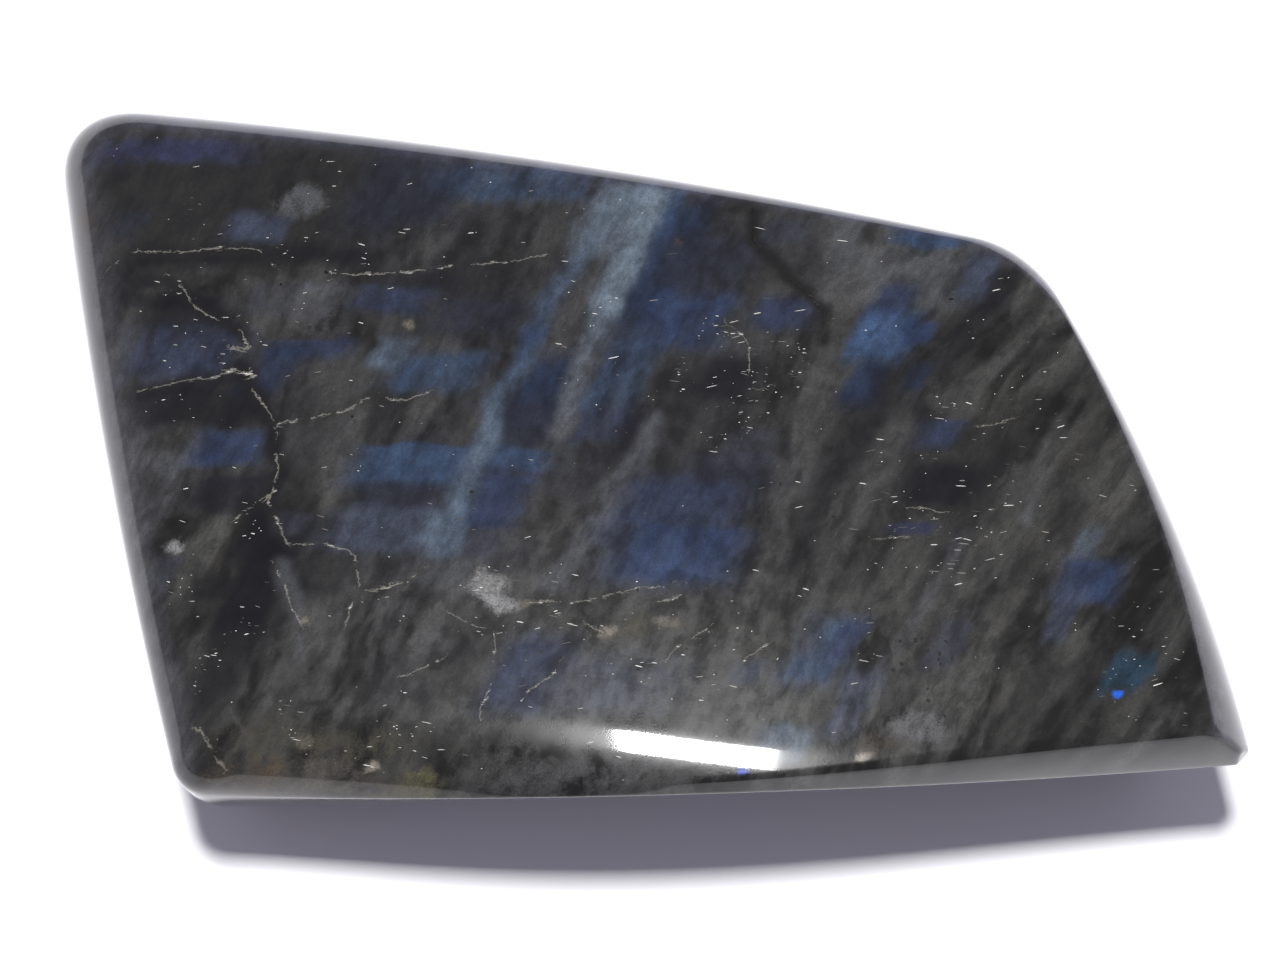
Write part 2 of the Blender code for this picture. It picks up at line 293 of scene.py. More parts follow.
# A crack in the upper right with painted shade along it, a soft dark stroke with the crack in it
SHADED_CRACK_PATH = ((13.0, 22.8), (13.3, 19.5), (14.3, 17.4), (16.3, 15.2), (18.4, 13.5), (19.9, 11.2),
             (19.6, 7.5))

# A lamella or a dark band that shows from end to end, with the tones at its two ends
Stroke = namedtuple("Stroke", "width start end strength points")
STROKES = (
    Stroke(2.1, MIST, STEEL, 0.75, ((0.0, 25.2), (-2.5, 20.5), (-5.4, 16.1), (-8.2, 11.9), (-9.5, 8.8))),
    Stroke(2.0, STEEL, PALE_TEAL, 0.85, ((-9.5, 8.8), (-11.1, 4.9), (-13.2, 1.3), (-13.9, -3.0))),
    Stroke(2.4, PALE_TEAL, PALE_TEAL, 0.9, ((-13.9, -3.0), (-15.2, -6.8), (-16.7, -10.3),
                                            (-17.9, -14.3))),
    Stroke(3.0, MIST, MIST, 0.95, ((2.6, 24.5), (1.2, 19.8), (-0.9, 15.5), (-2.3, 11.8))),
    Stroke(1.5, STEEL, DEEP, 0.6, ((5.6, 24.6), (4.0, 20.5), (2.3, 16.6), (0.3, 12.3))),
    Stroke(2.0, MIST, ASH, 0.8, ((-1.5, 11.8), (-4.0, 7.2), (-5.2, 3.1), (-6.7, -1.9))),
    Stroke(2.0, ASH, ASH, 0.65, ((2.9, -1.4), (1.3, -4.6), (-1.3, -9.1), (-4.5, -14.9),
                                 (-7.3, -18.9))),
    Stroke(1.3, SMOKE, ASH, 0.7, ((33.9, -13.7), (31.0, -18.5), (27.8, -24.0), (24.2, -30.2))),
    Stroke(1.9, BLACK, BLACK, 0.85, ((-53.7, 10.7), (-52.9, 13.9), (-50.7, 15.6), (-47.1, 16.0),
                                     (-44.6, 13.7), (-41.6, 11.4), (-38.9, 9.3))),
    Stroke(2.6, BLACK, BLACK, 0.8, ((-53.1, 17.2), (-48.8, 18.5), (-41.5, 18.4), (-34.2, 18.1),
                                    (-27.4, 18.1))),
    Stroke(2.0, BLACK, BLACK, 0.85, ((-51.1, 0.9), (-49.3, 2.9), (-45.7, 3.8), (-41.1, 4.2),
                                     (-38.6, 4.6))),
    Stroke(2.2, BLACK, BLACK, 0.95, ((-39.2, 5.7), (-37.2, 2.0), (-35.4, -1.3), (-34.6, -4.6), (-34.6, -7.3),
                                     (-35.5, -9.5), (-37.2, -10.4))),
    Stroke(3.2, BLACK, BLACK, 0.85, ((-36.5, -11.1), (-35.3, -14.3), (-34.1, -17.5), (-32.2, -19.1))),
    Stroke(2.6, SHADE, BLACK, 0.7, ((28.4, 4.7), (25.8, 0.2), (22.6, -5.2), (20.0, -9.6),
                                    (17.4, -16.0))),
    Stroke(2.4, BLACK, SHADE, 0.7, ((37.4, 12.6), (33.0, 5.8), (29.8, -0.9), (27.6, -6.3))),
    Stroke(3.0, SMOKE, SMOKE, 0.7, ((22.5, 13.7), (20.8, 8.1), (18.7, 1.4), (17.1, -4.1), (15.0, -11.7),
                                    (13.9, -20.2))),
    Stroke(3.0, SMOKE, SMOKE, 0.65, ((27.7, -2.0), (24.6, -7.4), (21.4, -12.8), (18.8, -19.1),
                                     (17.3, -24.3))),
    Stroke(1.6, SMOKE, ASH, 0.6, ((43.9, -2.0), (41.6, -7.4), (39.9, -11.7))),
    Stroke(4.0, ASH, SMOKE, 0.6, ((23.2, 22.4), (22.1, 17.2), (20.9, 12.6))),
    # Painted shade along the crack in the upper right
    Stroke(1.4, BLACK, SHADE, 0.85, SHADED_CRACK_PATH),
    Stroke(1.7, ASH, ASH, 0.65, ((-33.6, -16.4), (-32.6, -20.0), (-31.9, -23.0), (-31.4, -26.0))),
)

# A soft mark with a tone: veils and stains, and also a painted glow by the highlight and painted glints
Spot = namedtuple("Spot", "x y width height tone strength")
SPOTS = (
    Spot(-33.7, 24.7, 5.5, 4.0, ASH, 0.8),
    Spot(-31.5, 11.0, 5.0, 4.0, ASH, 0.4),
    Spot(-28.8, 4.4, 5.0, 4.0, SMOKE, 0.5),
    Spot(-13.2, -19.3, 4.2, 3.4, WHITE, 0.85),
    Spot(-14.0, -17.6, 1.6, 2.2, WHITE, 0.75),
    Spot(-11.6, -20.9, 3.2, 1.8, WHITE, 0.8),
    Spot(-9.6, -20.9, 2.4, 0.9, BEIGE, 0.8),
    Spot(-1.9, -23.5, 3.4, 1.6, CREAM, 0.6),
    Spot(-44.2, -13.6, 1.8, 1.4, WHITE, 0.8),
    Spot(-31.5, -22.7, 1.4, 1.8, CREAM, 0.6),
    Spot(28.6, -33.2, 6.0, 3.6, CLOUD, 0.85),
    Spot(1.6, -23.3, 4.0, 2.4, OLIVE, 0.7),
    Spot(-33.4, -34.1, 10.0, 5.0, OLIVE, 0.45),
    Spot(-25.0, -35.0, 12.0, 4.0, OLIVE, 0.5),
    Spot(-23.4, -36.2, 1.7, 0.9, CREAM, 0.7),
    Spot(-30.3, -33.8, 1.7, 1.3, BEIGE, 0.65),
    Spot(-32.8, -36.8, 1.6, 1.2, GOLD, 0.8),
    Spot(-39.6, -38.8, 4.0, 1.6, GOLD, 0.6),
    Spot(-18.6, -38.0, 4.4, 2.6, MOSS, 0.75),
    Spot(24.6, -35.2, 4.0, 2.4, UMBER, 0.8),
    Spot(4.2, -22.6, 3.2, 1.6, BEIGE, 0.7),
    Spot(22.9, -36.2, 1.6, 0.8, CREAM, 0.8),
    Spot(-56.7, 24.7, 4.0, 4.4, UMBER, 0.7),
    Spot(-31.0, -39.4, 22.0, 5.0, SAND, 0.8),
    Spot(-36.0, -36.6, 8.0, 3.0, BROWN, 0.6),
    Spot(-28.0, -36.4, 6.0, 2.4, PEBBLE, 0.7),
    Spot(-22.0, -38.6, 7.0, 2.2, KHAKI, 0.6),
    # Painted glow of the lamp's highlight along the front edge
    Spot(-1.0, -38.0, 24.0, 5.0, ASH, 0.5),
    Spot(-12.0, -36.5, 8.0, 4.0, SMOKE, 0.6),
    Spot(-25.8, -40.3, 8.0, 1.6, UMBER, 0.6),
    Spot(-22.4, 10.2, 1.5, 1.2, BEIGE, 0.8),
    Spot(5.4, 19.0, 0.9, 0.9, RED, 0.6),
    Spot(-23.5, 20.7, 1.4, 1.2, BLACK, 0.8),
    Spot(-12.7, 6.1, 1.0, 0.9, BLACK, 0.8),
    Spot(-5.7, 3.5, 0.9, 0.9, BLACK, 0.8),
    Spot(32.4, 1.3, 4.0, 4.0, SMOKE, 0.4),
    Spot(39.0, -8.5, 4.0, 5.0, SMOKE, 0.5),
    Spot(20.8, 7.5, 3.0, 5.0, SMOKE, 0.5),
    Spot(-31.7, -28.5, 4.0, 6.0, SMOKE, 0.6),
    Spot(7.5, -29.5, 8.0, 7.0, ASH, 0.35),
    Spot(2.6, -28.4, 5.0, 5.0, ASH, 0.35),
    # Painted glints: two small spots of bright blue light
    Spot(48.2, -30.0, 1.1, 0.8, GLINT_AZURE, 0.95),
    Spot(11.8, -37.5, 0.8, 0.7, GLINT_PALE_AZURE, 0.9),
)

# Veins show as thin beige lines and cracks as dark ones. Both are a half width and the line's points.
Vein = namedtuple("Vein", "half points")
VEINS = (
    Vein(0.13, ((-47.1, 16.4), (-46.3, 16.2), (-45.8, 15.1), (-44.3, 13.2), (-42.5, 11.6), (-38.9, 9.5),
                (-38.6, 8.0), (-40.0, 7.6), (-38.1, 7.1), (-38.1, 5.0), (-40.2, 5.1), (-37.4, 4.7))),
    Vein(0.11, ((-37.4, 4.7), (-38.3, 3.9), (-36.5, 1.2), (-34.8, -1.9), (-34.5, -4.6), (-35.5, -9.8))),
    Vein(0.12, ((-35.5, -9.8), (-34.2, -11.9), (-32.8, -14.1), (-29.5, -14.3), (-27.1, -14.7),
                (-26.3, -17.2), (-26.0, -19.3), (-26.7, -20.2), (-26.9, -21.4), (-27.3, -22.5))),
    Vein(0.10, ((-34.7, -4.1), (-34.9, -6.3), (-34.9, -8.4), (-37.9, -10.4), (-38.7, -10.8))),
    Vein(0.09, ((-53.0, 18.0), (-52.2, 18.8), (-51.0, 19.4), (-46.8, 19.3), (-43.1, 19.7), (-39.5, 19.3),
                (-38.2, 19.2), (-36.2, 17.1))),
    Vein(0.11, ((-30.4, 16.2), (-27.8, 15.9), (-24.7, 16.0), (-21.0, 16.1), (-17.9, 16.4), (-13.2, 17.0),
                (-8.1, 17.5))),
    Vein(0.12, ((-34.7, -0.8), (-32.2, -0.2), (-29.6, 0.2), (-28.1, 0.2), (-26.1, 1.1), (-24.6, 1.8),
                (-22.0, 1.4), (-20.0, 2.2))),
    Vein(0.09, ((-49.8, 3.4), (-47.8, 3.7), (-43.7, 4.4), (-38.6, 5.0))),
    Vein(0.08, ((-26.2, -19.3), (-24.3, -19.1), (-22.8, -18.3))),
    Vein(0.09, ((10.4, 9.7), (11.8, 8.1), (12.2, 6.7), (12.3, 4.5))),
    Vein(0.14, ((-2.4, -20.1), (-0.4, -19.8), (2.0, -19.1), (5.0, -18.7))),
    Vein(0.09, ((3.0, -20.6), (6.5, -19.7), (8.7, -19.5))),
    Vein(0.10, ((-10.3, -21.1), (-7.8, -20.7), (-6.4, -20.4), (-2.4, -20.1))),
    Vein(0.09, ((-13.2, -23.1), (-12.9, -25.4), (-12.9, -29.5), (-13.5, -32.1))),
    Vein(0.09, ((-5.8, -26.4), (-6.7, -27.9), (-8.7, -29.5), (-9.6, -30.7))),
    Vein(0.10, ((4.3, -26.7), (6.5, -24.8), (8.6, -22.8))),
    Vein(0.10, ((11.4, -26.6), (13.8, -24.8))),
    Vein(0.09, ((26.8, -10.5), (28.5, -10.7), (30.5, -11.1), (32.6, -11.4))),
    Vein(0.08, ((25.0, -13.7), (27.4, -13.8), (29.9, -13.9))),
    Vein(0.08, ((35.6, -2.0), (37.8, -1.4), (39.5, -1.1))),
    Vein(0.16, ((-40.6, -32.3), (-39.4, -34.1), (-37.8, -35.8))),
    Vein(0.13, ((-3.4, -22.8), (-1.9, -23.5), (0.1, -24.3))),
    Vein(0.10, ((-34.6, -16.2), (-33.4, -18.0), (-32.9, -20.6), (-31.8, -22.6))),
    Vein(0.10, ((-26.0, -19.3), (-23.4, -19.0), (-21.0, -17.6), (-19.4, -16.6))),
    Vein(0.10, ((-21.6, -28.0), (-19.4, -27.4), (-17.6, -26.0))),
    Vein(0.09, ((-17.4, -21.8), (-15.0, -23.0), (-13.0, -23.2))),
    Vein(0.10, ((-14.6, -17.0), (-13.8, -18.4), (-12.0, -19.2))),
)
CRACKS = (
    Vein(0.16, SHADED_CRACK_PATH),
    Vein(0.20, ((-42.1, -37.4), (-40.4, -38.6), (-37.5, -39.4), (-33.6, -39.4))),
)

# Where the small slivers of painted glint and the dark pits lie thickest
GLINT_ZONES = (
    Spot(-44.0, 10.0, 14.0, 16.0, None, 0.5),
    Spot(-33.0, 16.0, 20.0, 12.0, None, 0.4),
    Spot(11.0, 3.0, 13.0, 14.0, None, 1.5),
    Spot(-8.0, -22.0, 26.0, 9.0, None, 0.7),
    Spot(-40.0, -20.0, 12.0, 20.0, None, 0.6),
    Spot(31.0, -12.0, 18.0, 14.0, None, 0.8),
    Spot(38.0, 0.0, 14.0, 14.0, None, 0.4),
    Spot(5.0, -26.0, 20.0, 10.0, None, 0.5),
    Spot(50.0, -26.0, 8.0, 12.0, None, 0.5),
    Spot(-25.0, -33.0, 20.0, 8.0, None, 0.5),
    Spot(-3.0, 6.0, 10.0, 16.0, None, 0.4),
)
PIT_ZONES = (
    Spot(29.0, -27.2, 6.0, 8.0, None, 1.0),
    Spot(10.5, 3.0, 5.0, 5.0, None, 0.5),
)
MARKS_PLACE = (0.1, 0.43)   # where the origin of the markings' places lies on the stone
NO_LINE = 9.0               # distance that stands for no line near
POLISH_GLOW = (0.0130, 0.0126, 0.0170)  # part of the seen light that the polish itself gives

# How soft an edge of a patch is: share of the patch's size, least and most in mm, and how much further
# out it is painted
Fade = namedtuple("Fade", "share least most extra")
SIDE_FADE = Fade(share=0.5, least=1.2, most=9.0, extra=0.4)
END_FADE = Fade(share=0.45, least=0.8, most=7.0, extra=0.2)
CRISP = 0.7                 # softness of a patch's crisp end
SOFT_SHARE = 0.9            # softness of a spot or a stroke as a share of its size
VEIN_TAPER = 0.5            # how much thinner a vein is at its two ends

# The edges of the markings wander in large bends and in smaller ones, finer and weaker by these values
FINE_WARP = 3.5
FINE_WARP_SHARE = 0.35

# Painted reflection on the rim, toned by the side that it faces, on faces that tilt between these limits
RIM_BEGINS = (0.01, 0.25)
RIM_ENDS = (0.5, 0.9)
RIM_TURN = (0.3, 0.7)
REFLECTION_STRENGTH = 0.7

# Slivers and pits away from their zones, the upward faces that have them, and how they cluster
GLINT_GROUND = 0.08
PIT_GROUND = 0.01
UPWARD = (0.85, 0.97)
CLUSTER_SPAN = (0.05, 0.4)
CLUSTER_LEAST = 0.2
CLUSTER_MORE = 1.6

SEED_STEPS = (17.3, 5.9, 11.1)
WARP_SEED, FINE_WARP_SEED, WAVE_SEED, CLUSTER_SEED = 1, 2, 3, 5
WAVE_INWARDS = 0.7          # where the waves of the polish lie and how far they swing, per wave height
WAVE_SWING = 0.5
NOISE_SEED = 4              # without a seed the noise would start from the clock, new in every run


def between(start, end, t, haste=1.0):
    """Value that goes from start to end as t goes from 0 to 1, early if haste is over 1."""
    return end + (start - end) * (1.0 - min(max(t, 0.0), 1.0)) ** haste


def place(index):
    """Plan position of a corner, counted round the stone."""
    corner = CORNERS[index % 4]
    return Vector((corner.x, corner.y))


def arch_rise(index, t):
    """Height that the arch adds to the girdle at t along a side."""
    leaning = np.clip(t, 0.0, 1.0) ** ARCH_LEAN
    return SIDES[index].arch * (4.0 * leaning * (1.0 - leaning)) ** ARCH_PEAK


def side_point(index, t, inset):
    """Point at t along a bulged side, moved inwards by inset."""
    along = place(index + 1) - place(index)
    outward = Vector((along.y, -along.x)).normalized()
    bulge = SIDES[index].bulge * 4.0 * t * (1.0 - t) + ARCH_REACHES * arch_rise(index, t)
    return place(index) + along * t + outward * (bulge - inset)


def reach_past_corner(index, own, other):
    """How far along a side inset by own its neighbour, inset by other, crosses it."""
    here = place(index)
    angle = (place(index - 1) - here).angle(place(index + 1) - here)
    return (other + own * math.cos(angle)) / math.sin(angle)


def side_marks(index, insets, cuts):
    """Places t along a side between the rounded corners at its two ends."""
    after = (index + 1) % 4
    length = (place(index + 1) - place(index)).length
    start = cuts[index] + reach_past_corner(index, insets[index](0.0), insets[index - 1](1.0))
    end = cuts[after] + reach_past_corner(after, insets[index](1.0), insets[after](0.0))
    return np.linspace(start / length, 1.0 - end / length, SIDES[index].steps + 1)


def corner_curve(arriving, leaving, steps):
    """Points between two sides, on the curve that touches both."""
    start, start_way = arriving[-1], (arriving[-1] - arriving[-2]).normalized()
    end, end_way = leaving[0], (leaving[1] - leaving[0]).normalized()
    gap = end - start
    turn = start_way.cross(end_way)
    start_handle = start + start_way * HANDLE * gap.cross(end_way) / turn
    end_handle = end - end_way * HANDLE * start_way.cross(gap) / turn
    points = []
    for step in range(1, steps):
        u = step / steps
        v = 1.0 - u
        points.append(start * v ** 3 + start_handle * 3 * v * v * u
                      + end_handle * 3 * v * u * u + end * u ** 3)
    return points


def outline(insets, cuts):
    """Closed outline with each side inset by a function of t, as an array of plan points."""
    runs = [[side_point(index, t, insets[index](t)) for t in side_marks(index, insets, cuts)]
            for index in range(4)]
    points = []
    for index in range(4):
        points += corner_curve(runs[index - 1], runs[index], CORNERS[index].steps)
        points += runs[index]
    return np.array([tuple(point) for point in points])


def round_outline(side_value):
    """Value at every outline point: side_value(index, t) on sides, blended smoothly round corners."""
    values = []
    for index in range(4):
        before, after = side_value((index - 1) % 4, 1.0), side_value(index, 0.0)
        for step in range(1, CORNERS[index].steps):
            u = step / CORNERS[index].steps
            values.append(before + (after - before) * u * u * (3.0 - 2.0 * u))
        values += [side_value(index, t) for t in np.linspace(0.0, 1.0, SIDES[index].steps + 1)]
    return np.array(values)


def smooth(value, low, high):
    """Smooth step from 0 at low to 1 at high."""
    t = np.clip((value - low) / (high - low), 0.0, 1.0)
    return t * t * (3.0 - 2.0 * t)


def rim_softness(index, t):
    """Width over which the rim is rounded off at t along a side."""
    marks = RIM_SOFTNESS[index]
    return float(np.interp(t, [mark[0] for mark in marks], [mark[1] for mark in marks]))


def ground_width(index, inside=False):
    """Width ground away along a side from the girdle to the rim, or inside its rounding, against t."""
    side = SIDES[index]
    return lambda t: (between(side.width_start, side.width_end, t)
                      + between(side.flare, 0.0, t, FLARE_HASTE)
                      + side.heel * smooth(t, *HEEL_SPAN)
                      + (rim_softness(index, t) if inside else 0.0))


def top_height(points):
    """Height of the polished top over plan points."""
    x, y = points[..., 0], points[..., 1]
    across = (x - DOME_MIDDLE[0]) / DOME_REACH[0]
    deep = (y - DOME_MIDDLE[1]) / DOME_REACH[1]
    dome = TOP_HEIGHT + TOP_RISE * x - DOME_FALL[0] * across ** 2 - DOME_FALL[1] * deep ** 2
    along = np.clip((x - NEAR_LEFT.x) / (NEAR_RIGHT.x - NEAR_LEFT.x), 0.0, 1.0)
    edge = NEAR_LEFT.y + (NEAR_RIGHT.y - NEAR_LEFT.y) * along - FRONT.bulge * 4.0 * along * (1.0 - along)
    edge -= ARCH_REACHES * arch_rise(SIDES.index(FRONT), along)
    edge += FRONT.width_start + FRONT.heel * smooth(along, *HEEL_SPAN)
    width = ROLL_WIDTH[0] + (ROLL_WIDTH[1] - ROLL_WIDTH[0]) * smooth(x, *ROLL_NARROWS)
    bend = np.interp(x, ROLL_BEND_SPAN, ROLL_BEND)
    near = np.clip(width - (y - edge), 0.0, width)
    return dome - bend * near ** 2 / 2.0


def roundness_round(calm):
    """Roundness of the edge at every outline point."""
    return round_outline(lambda index, t: between(SIDES[index].round_start, SIDES[index].round_end,
                                                  t, max(1.0, SIDES[index].haste * calm))
                         + SIDES[index].heel_round * smooth(t, *HEEL_SPAN))


def girdle_height(index, t):
    """Height of the girdle at t along a side."""
    level = between(CORNERS[index].girdle, CORNERS[(index + 1) % 4].girdle, t)
    return level + arch_rise(index, t)


def edge_profile(fraction, roundness):
    """Inward and upward share of an edge at a fraction of its way, flat or round by roundness."""
    inward, upward = 1.0 - np.cos(fraction * math.pi / 2), np.sin(fraction * math.pi / 2)
    flat = (1.0 - roundness) * fraction
    return flat + roundness * inward, flat + roundness * upward


def soften(before, crease, after):
    """Three rings that round a crease off between the rings before and after it."""
    return [(9.0 * before + 6.0 * crease + after) / 16.0,
            (before + 2.0 * crease + after) / 4.0,
            (before + 6.0 * crease + 9.0 * after) / 16.0]


def stone_rings(softness):
    """Rings from the middle of the base to just outside the top, the top's outline, and the girdle."""
    girdle = outline([lambda t: 0.0] * 4, [corner.cut for corner in CORNERS])
    rim_cuts = [corner.rim_cut for corner in CORNERS]
    rim = outline([ground_width(index) for index in range(4)], rim_cuts)
    inside = outline([ground_width(index, True) for index in range(4)], rim_cuts)
    base = outline([lambda t, side=side: side.undercut for side in SIDES], rim_cuts)
    height = round_outline(girdle_height)
    rise = top_height(rim) - height
    upper_roundness, lower_roundness = roundness_round(1.0), roundness_round(LOWER_CALM)

    def lower(fraction):
        inward, downward = edge_profile(fraction, lower_roundness)
        plan = girdle + (base - girdle) * np.reshape(inward, (-1, 1))
        return np.column_stack([plan, height * (1.0 - downward)])

    def upper(fraction):
        inward, upward = edge_profile(fraction, upper_roundness)
        plan = girdle + (rim - girdle) * np.reshape(inward, (-1, 1))
        return np.column_stack([plan, height + rise * upward])

    lower_part = softness / np.hypot(np.linalg.norm(base - girdle, axis=1), height)
    upper_length = np.hypot(np.linalg.norm(rim - girdle, axis=1), rise)
    upper_part, rim_part = softness / upper_length, round_outline(rim_softness) / upper_length
    middle = base.mean(axis=0)
    inward = middle - base
    inward *= (softness / np.linalg.norm(inward, axis=1))[:, None]
    flat = np.zeros(len(base))
    base_inside = np.column_stack([base + inward, flat])
    rings = [np.column_stack([middle + (base - middle) * share, flat]) for share in BASE_SHARES]
    rings.append(base_inside)
    rings += soften(base_inside, np.column_stack([base, flat]), lower(1.0 - lower_part))
    rings += [lower(1.0 - lower_part + (2.0 * lower_part - 1.0) * step / LOWER_STEPS)
              for step in range(LOWER_STEPS + 1)]
    girdle_line = np.column_stack([girdle, height])
    rings += soften(rings[-1], girdle_line, upper(upper_part))
    rings += [upper(upper_part + (1.0 - upper_part - rim_part) * step / UPPER_STEPS)
              for step in range(UPPER_STEPS + 1)]
    top = np.column_stack([inside, top_height(inside)])
    rings += soften(rings[-1], np.column_stack([rim, top_height(rim)]), top)
    return rings, top, girdle_line


def corner_middle(index):
    """Number in the outline of the point half-way round a corner."""
    before = sum(CORNERS[earlier].steps + SIDES[earlier].steps for earlier in range(index))
    return before + CORNERS[index].steps // 2 - 1


def top_grid(top):
    """Grid of numbers of top points, with the outline's own numbers on its border, and new points."""
    marks = [corner_middle(index) for index in range(4)] + [corner_middle(0) + len(top)]
    runs = [np.arange(marks[index], marks[index + 1] + 1) % len(top) for index in range(4)]
    left, front, right, back = runs[0][::-1], runs[1], runs[2], runs[3][::-1]
    columns, rows = len(front), len(left)
    u = np.linspace(0.0, 1.0, columns)[None, :, None]
    v = np.linspace(0.0, 1.0, rows)[:, None, None]
    plan = top[:, :2]
    ruled_up = plan[front][None] * (1.0 - v) + plan[back][None] * v
    ruled_across = plan[left][:, None] * (1.0 - u) + plan[right][:, None] * u
    near = plan[front[0]] * (1.0 - u) + plan[front[-1]] * u
    far = plan[back[0]] * (1.0 - u) + plan[back[-1]] * u
    grid = ruled_up + ruled_across - (near * (1.0 - v) + far * v)
    numbers = np.zeros((rows, columns), dtype=int)
    numbers[0], numbers[-1], numbers[:, 0], numbers[:, -1] = front, back, left, right
    inner = grid[1:-1, 1:-1].reshape(-1, 2)
    numbers[1:-1, 1:-1] = len(top) + np.arange(len(inner)).reshape(rows - 2, columns - 2)
    return numbers, np.column_stack([inner, top_height(inner)])


def ring_faces(count, rings):
    """Four-sided faces between rings of count points that follow one another."""
    here = np.arange(count)
    after = (here + 1) % count
    strips = [np.column_stack([here, after, after + count, here + count]) + count * ring
              for ring in range(rings - 1)]
    return np.concatenate(strips)


def stone_mesh(form):
    """Mesh of the stone with its points where the solid part has them."""
    rings, top, girdle = stone_rings(form.softness / MM)
    count = len(top)
    numbers, inner = top_grid(top)
    first = count * len(rings)
    points = np.concatenate(rings + [top, inner, [[*rings[0].mean(axis=0)]]])
    grid = numbers + first
    quads = np.stack([grid[:-1, :-1], grid[:-1, 1:], grid[1:, 1:], grid[1:, :-1]], axis=-1).reshape(-1, 4)
    here = np.arange(count)
    fan = np.column_stack([np.full(count, len(points) - 1), (here + 1) % count, here])

    direction = np.array(Vector(CHIP_DIRECTION).normalized())
    limit = (girdle @ direction).max() - form.chip_depth / MM
    over = np.clip(points @ direction - limit, 0.0, None)
    points = points - over[:, None] * direction

    mesh = bpy.data.meshes.new("stone")
    faces = ring_faces(count, len(rings) + 1).tolist() + quads.tolist() + fan.tolist()
    mesh.from_pydata((points * MM).tolist(), [], faces)
    mesh.shade_smooth()
    return mesh


def mesh_points(mesh):
    """Positions of a mesh's points as an array."""
    points = np.empty(len(mesh.vertices) * 3)
    mesh.vertices.foreach_get("co", points)
    return points.reshape(-1, 3)


def set_points(mesh, points):
    """Move a mesh's points to new positions."""
    mesh.vertices.foreach_set("co", np.asarray(points).ravel())
    mesh.update()


def noise_at(points, size, seed):
    """Smooth noise from -1 to 1 in three parts at each point, with blotches of a size."""
    noise.seed_set(NOISE_SEED)
    shift = Vector([seed * step for step in SEED_STEPS])
    return np.array([noise.noise_vector(Vector(point) / size + shift) for point in points])


def wear_surface(mesh, form):
    """Give the polish its slight waves, inwards so that the stone grows nowhere."""
    points = mesh_points(mesh)
    normals = np.empty(len(points) * 3)
    mesh.vertex_normals.foreach_get("vector", normals)
    wave = noise_at(points, form.wave_length, WAVE_SEED)[:, :1]
    depth = form.wave_height * (WAVE_INWARDS + WAVE_SWING * wave)
    set_points(mesh, points - normals.reshape(-1, 3) * depth)


def centre_in(mesh, low, high):
    """Stand the mesh on the base of the solid part, in the middle of its box."""
    points = mesh_points(mesh)
    own_low, own_high = points.min(axis=0), points.max(axis=0)
    shift = (np.array(low) + np.array(high) - own_low - own_high) / 2.0
    shift[2] = low[2] - own_low[2]
    set_points(mesh, points + shift)


def ramp(inside, softness):
    """Smooth step from 0 to 1 over a softness in the middle of an edge."""
    return smooth(0.5 + inside / softness, 0.0, 1.0)


def linear(tone, share):
    """Colour under the polish that is seen as a tone from 0 to 255 through the polish's own glow."""
    tone = np.array(tone) / 255.0
    light = np.where(tone <= 0.04045, tone / 12.92, ((tone + 0.055) / 1.055) ** 2.4)
    return np.clip(light - np.array(POLISH_GLOW), 0.001, 1.0) * share


def line_distance(points, x, y):
    """Distance from each place to a line, the side it is on, and the share of the way along."""
    gap, side, share = np.full(x.shape, np.inf), np.zeros(x.shape), np.zeros(x.shape)
    lengths = [math.dist(start, end) for start, end in zip(points, points[1:])]
    done = 0.0
    for (x0, y0), (x1, y1), length in zip(points, points[1:], lengths):
        dx, dy = (x1 - x0) / length, (y1 - y0) / length
        t = np.clip((x - x0) * dx + (y - y0) * dy, 0.0, length)
        distance = np.hypot(x - x0 - t * dx, y - y0 - t * dy)
        nearer = distance < gap
        gap = np.where(nearer, distance, gap)
        side = np.where(nearer, np.sign(dx * (y - y0) - dy * (x - x0)), side)
        share = np.where(nearer, (done + t) / sum(lengths), share)
        done += length
    return gap, side, share


def fade_width(fade, size):
    """Softness in mm of an edge of a patch of a size."""
    return min(max(fade.share * size, fade.least), fade.most)


def patch_cover(patch, x, y):
    """Cover of a patch whose sides lean with the lamellae."""
    level = (y - patch.y) + BAND_FALL * (x - patch.x)
    across = (x - patch.x) - level * LEAN
    half_width = patch.width / 2.0 + SIDE_FADE.extra
    half_height = patch.height / 2.0 + END_FADE.extra
    soft_end = fade_width(END_FADE, patch.height)
    sides = ramp(half_width - np.abs(across), fade_width(SIDE_FADE, patch.width))
    far = ramp(half_height - level, CRISP if patch.crisp == 1 else soft_end)
    near = ramp(half_height + level, CRISP if patch.crisp == -1 else soft_end)
    return sides * far * near * patch.strength


def spot_cover(spot, x, y):
    """Cover of a soft round mark."""
    away = np.hypot((x - spot.x) / (spot.width / 2.0), (y - spot.y) / (spot.height / 2.0))
    return ramp(1.0 - away, SOFT_SHARE) * spot.strength


class Paint:
    """Colour and cover at each point, built up mark by mark."""

    def __init__(self, count, ground):
        self.colour = np.tile(np.array(ground, dtype=float), (count, 1))
        self.cover = np.zeros(count)

    def add(self, colour, cover):
        """Lay a colour over what is there."""
        self.colour += (colour - self.colour) * cover[:, None]
        self.cover += (1.0 - self.cover) * cover

    def store(self, mesh, name):
        """Keep the colour and the cover as one attribute of a mesh."""
        attribute = mesh.attributes.new(name, "FLOAT_COLOR", "POINT")
        attribute.data.foreach_set("color", np.column_stack([self.colour, self.cover]).ravel())


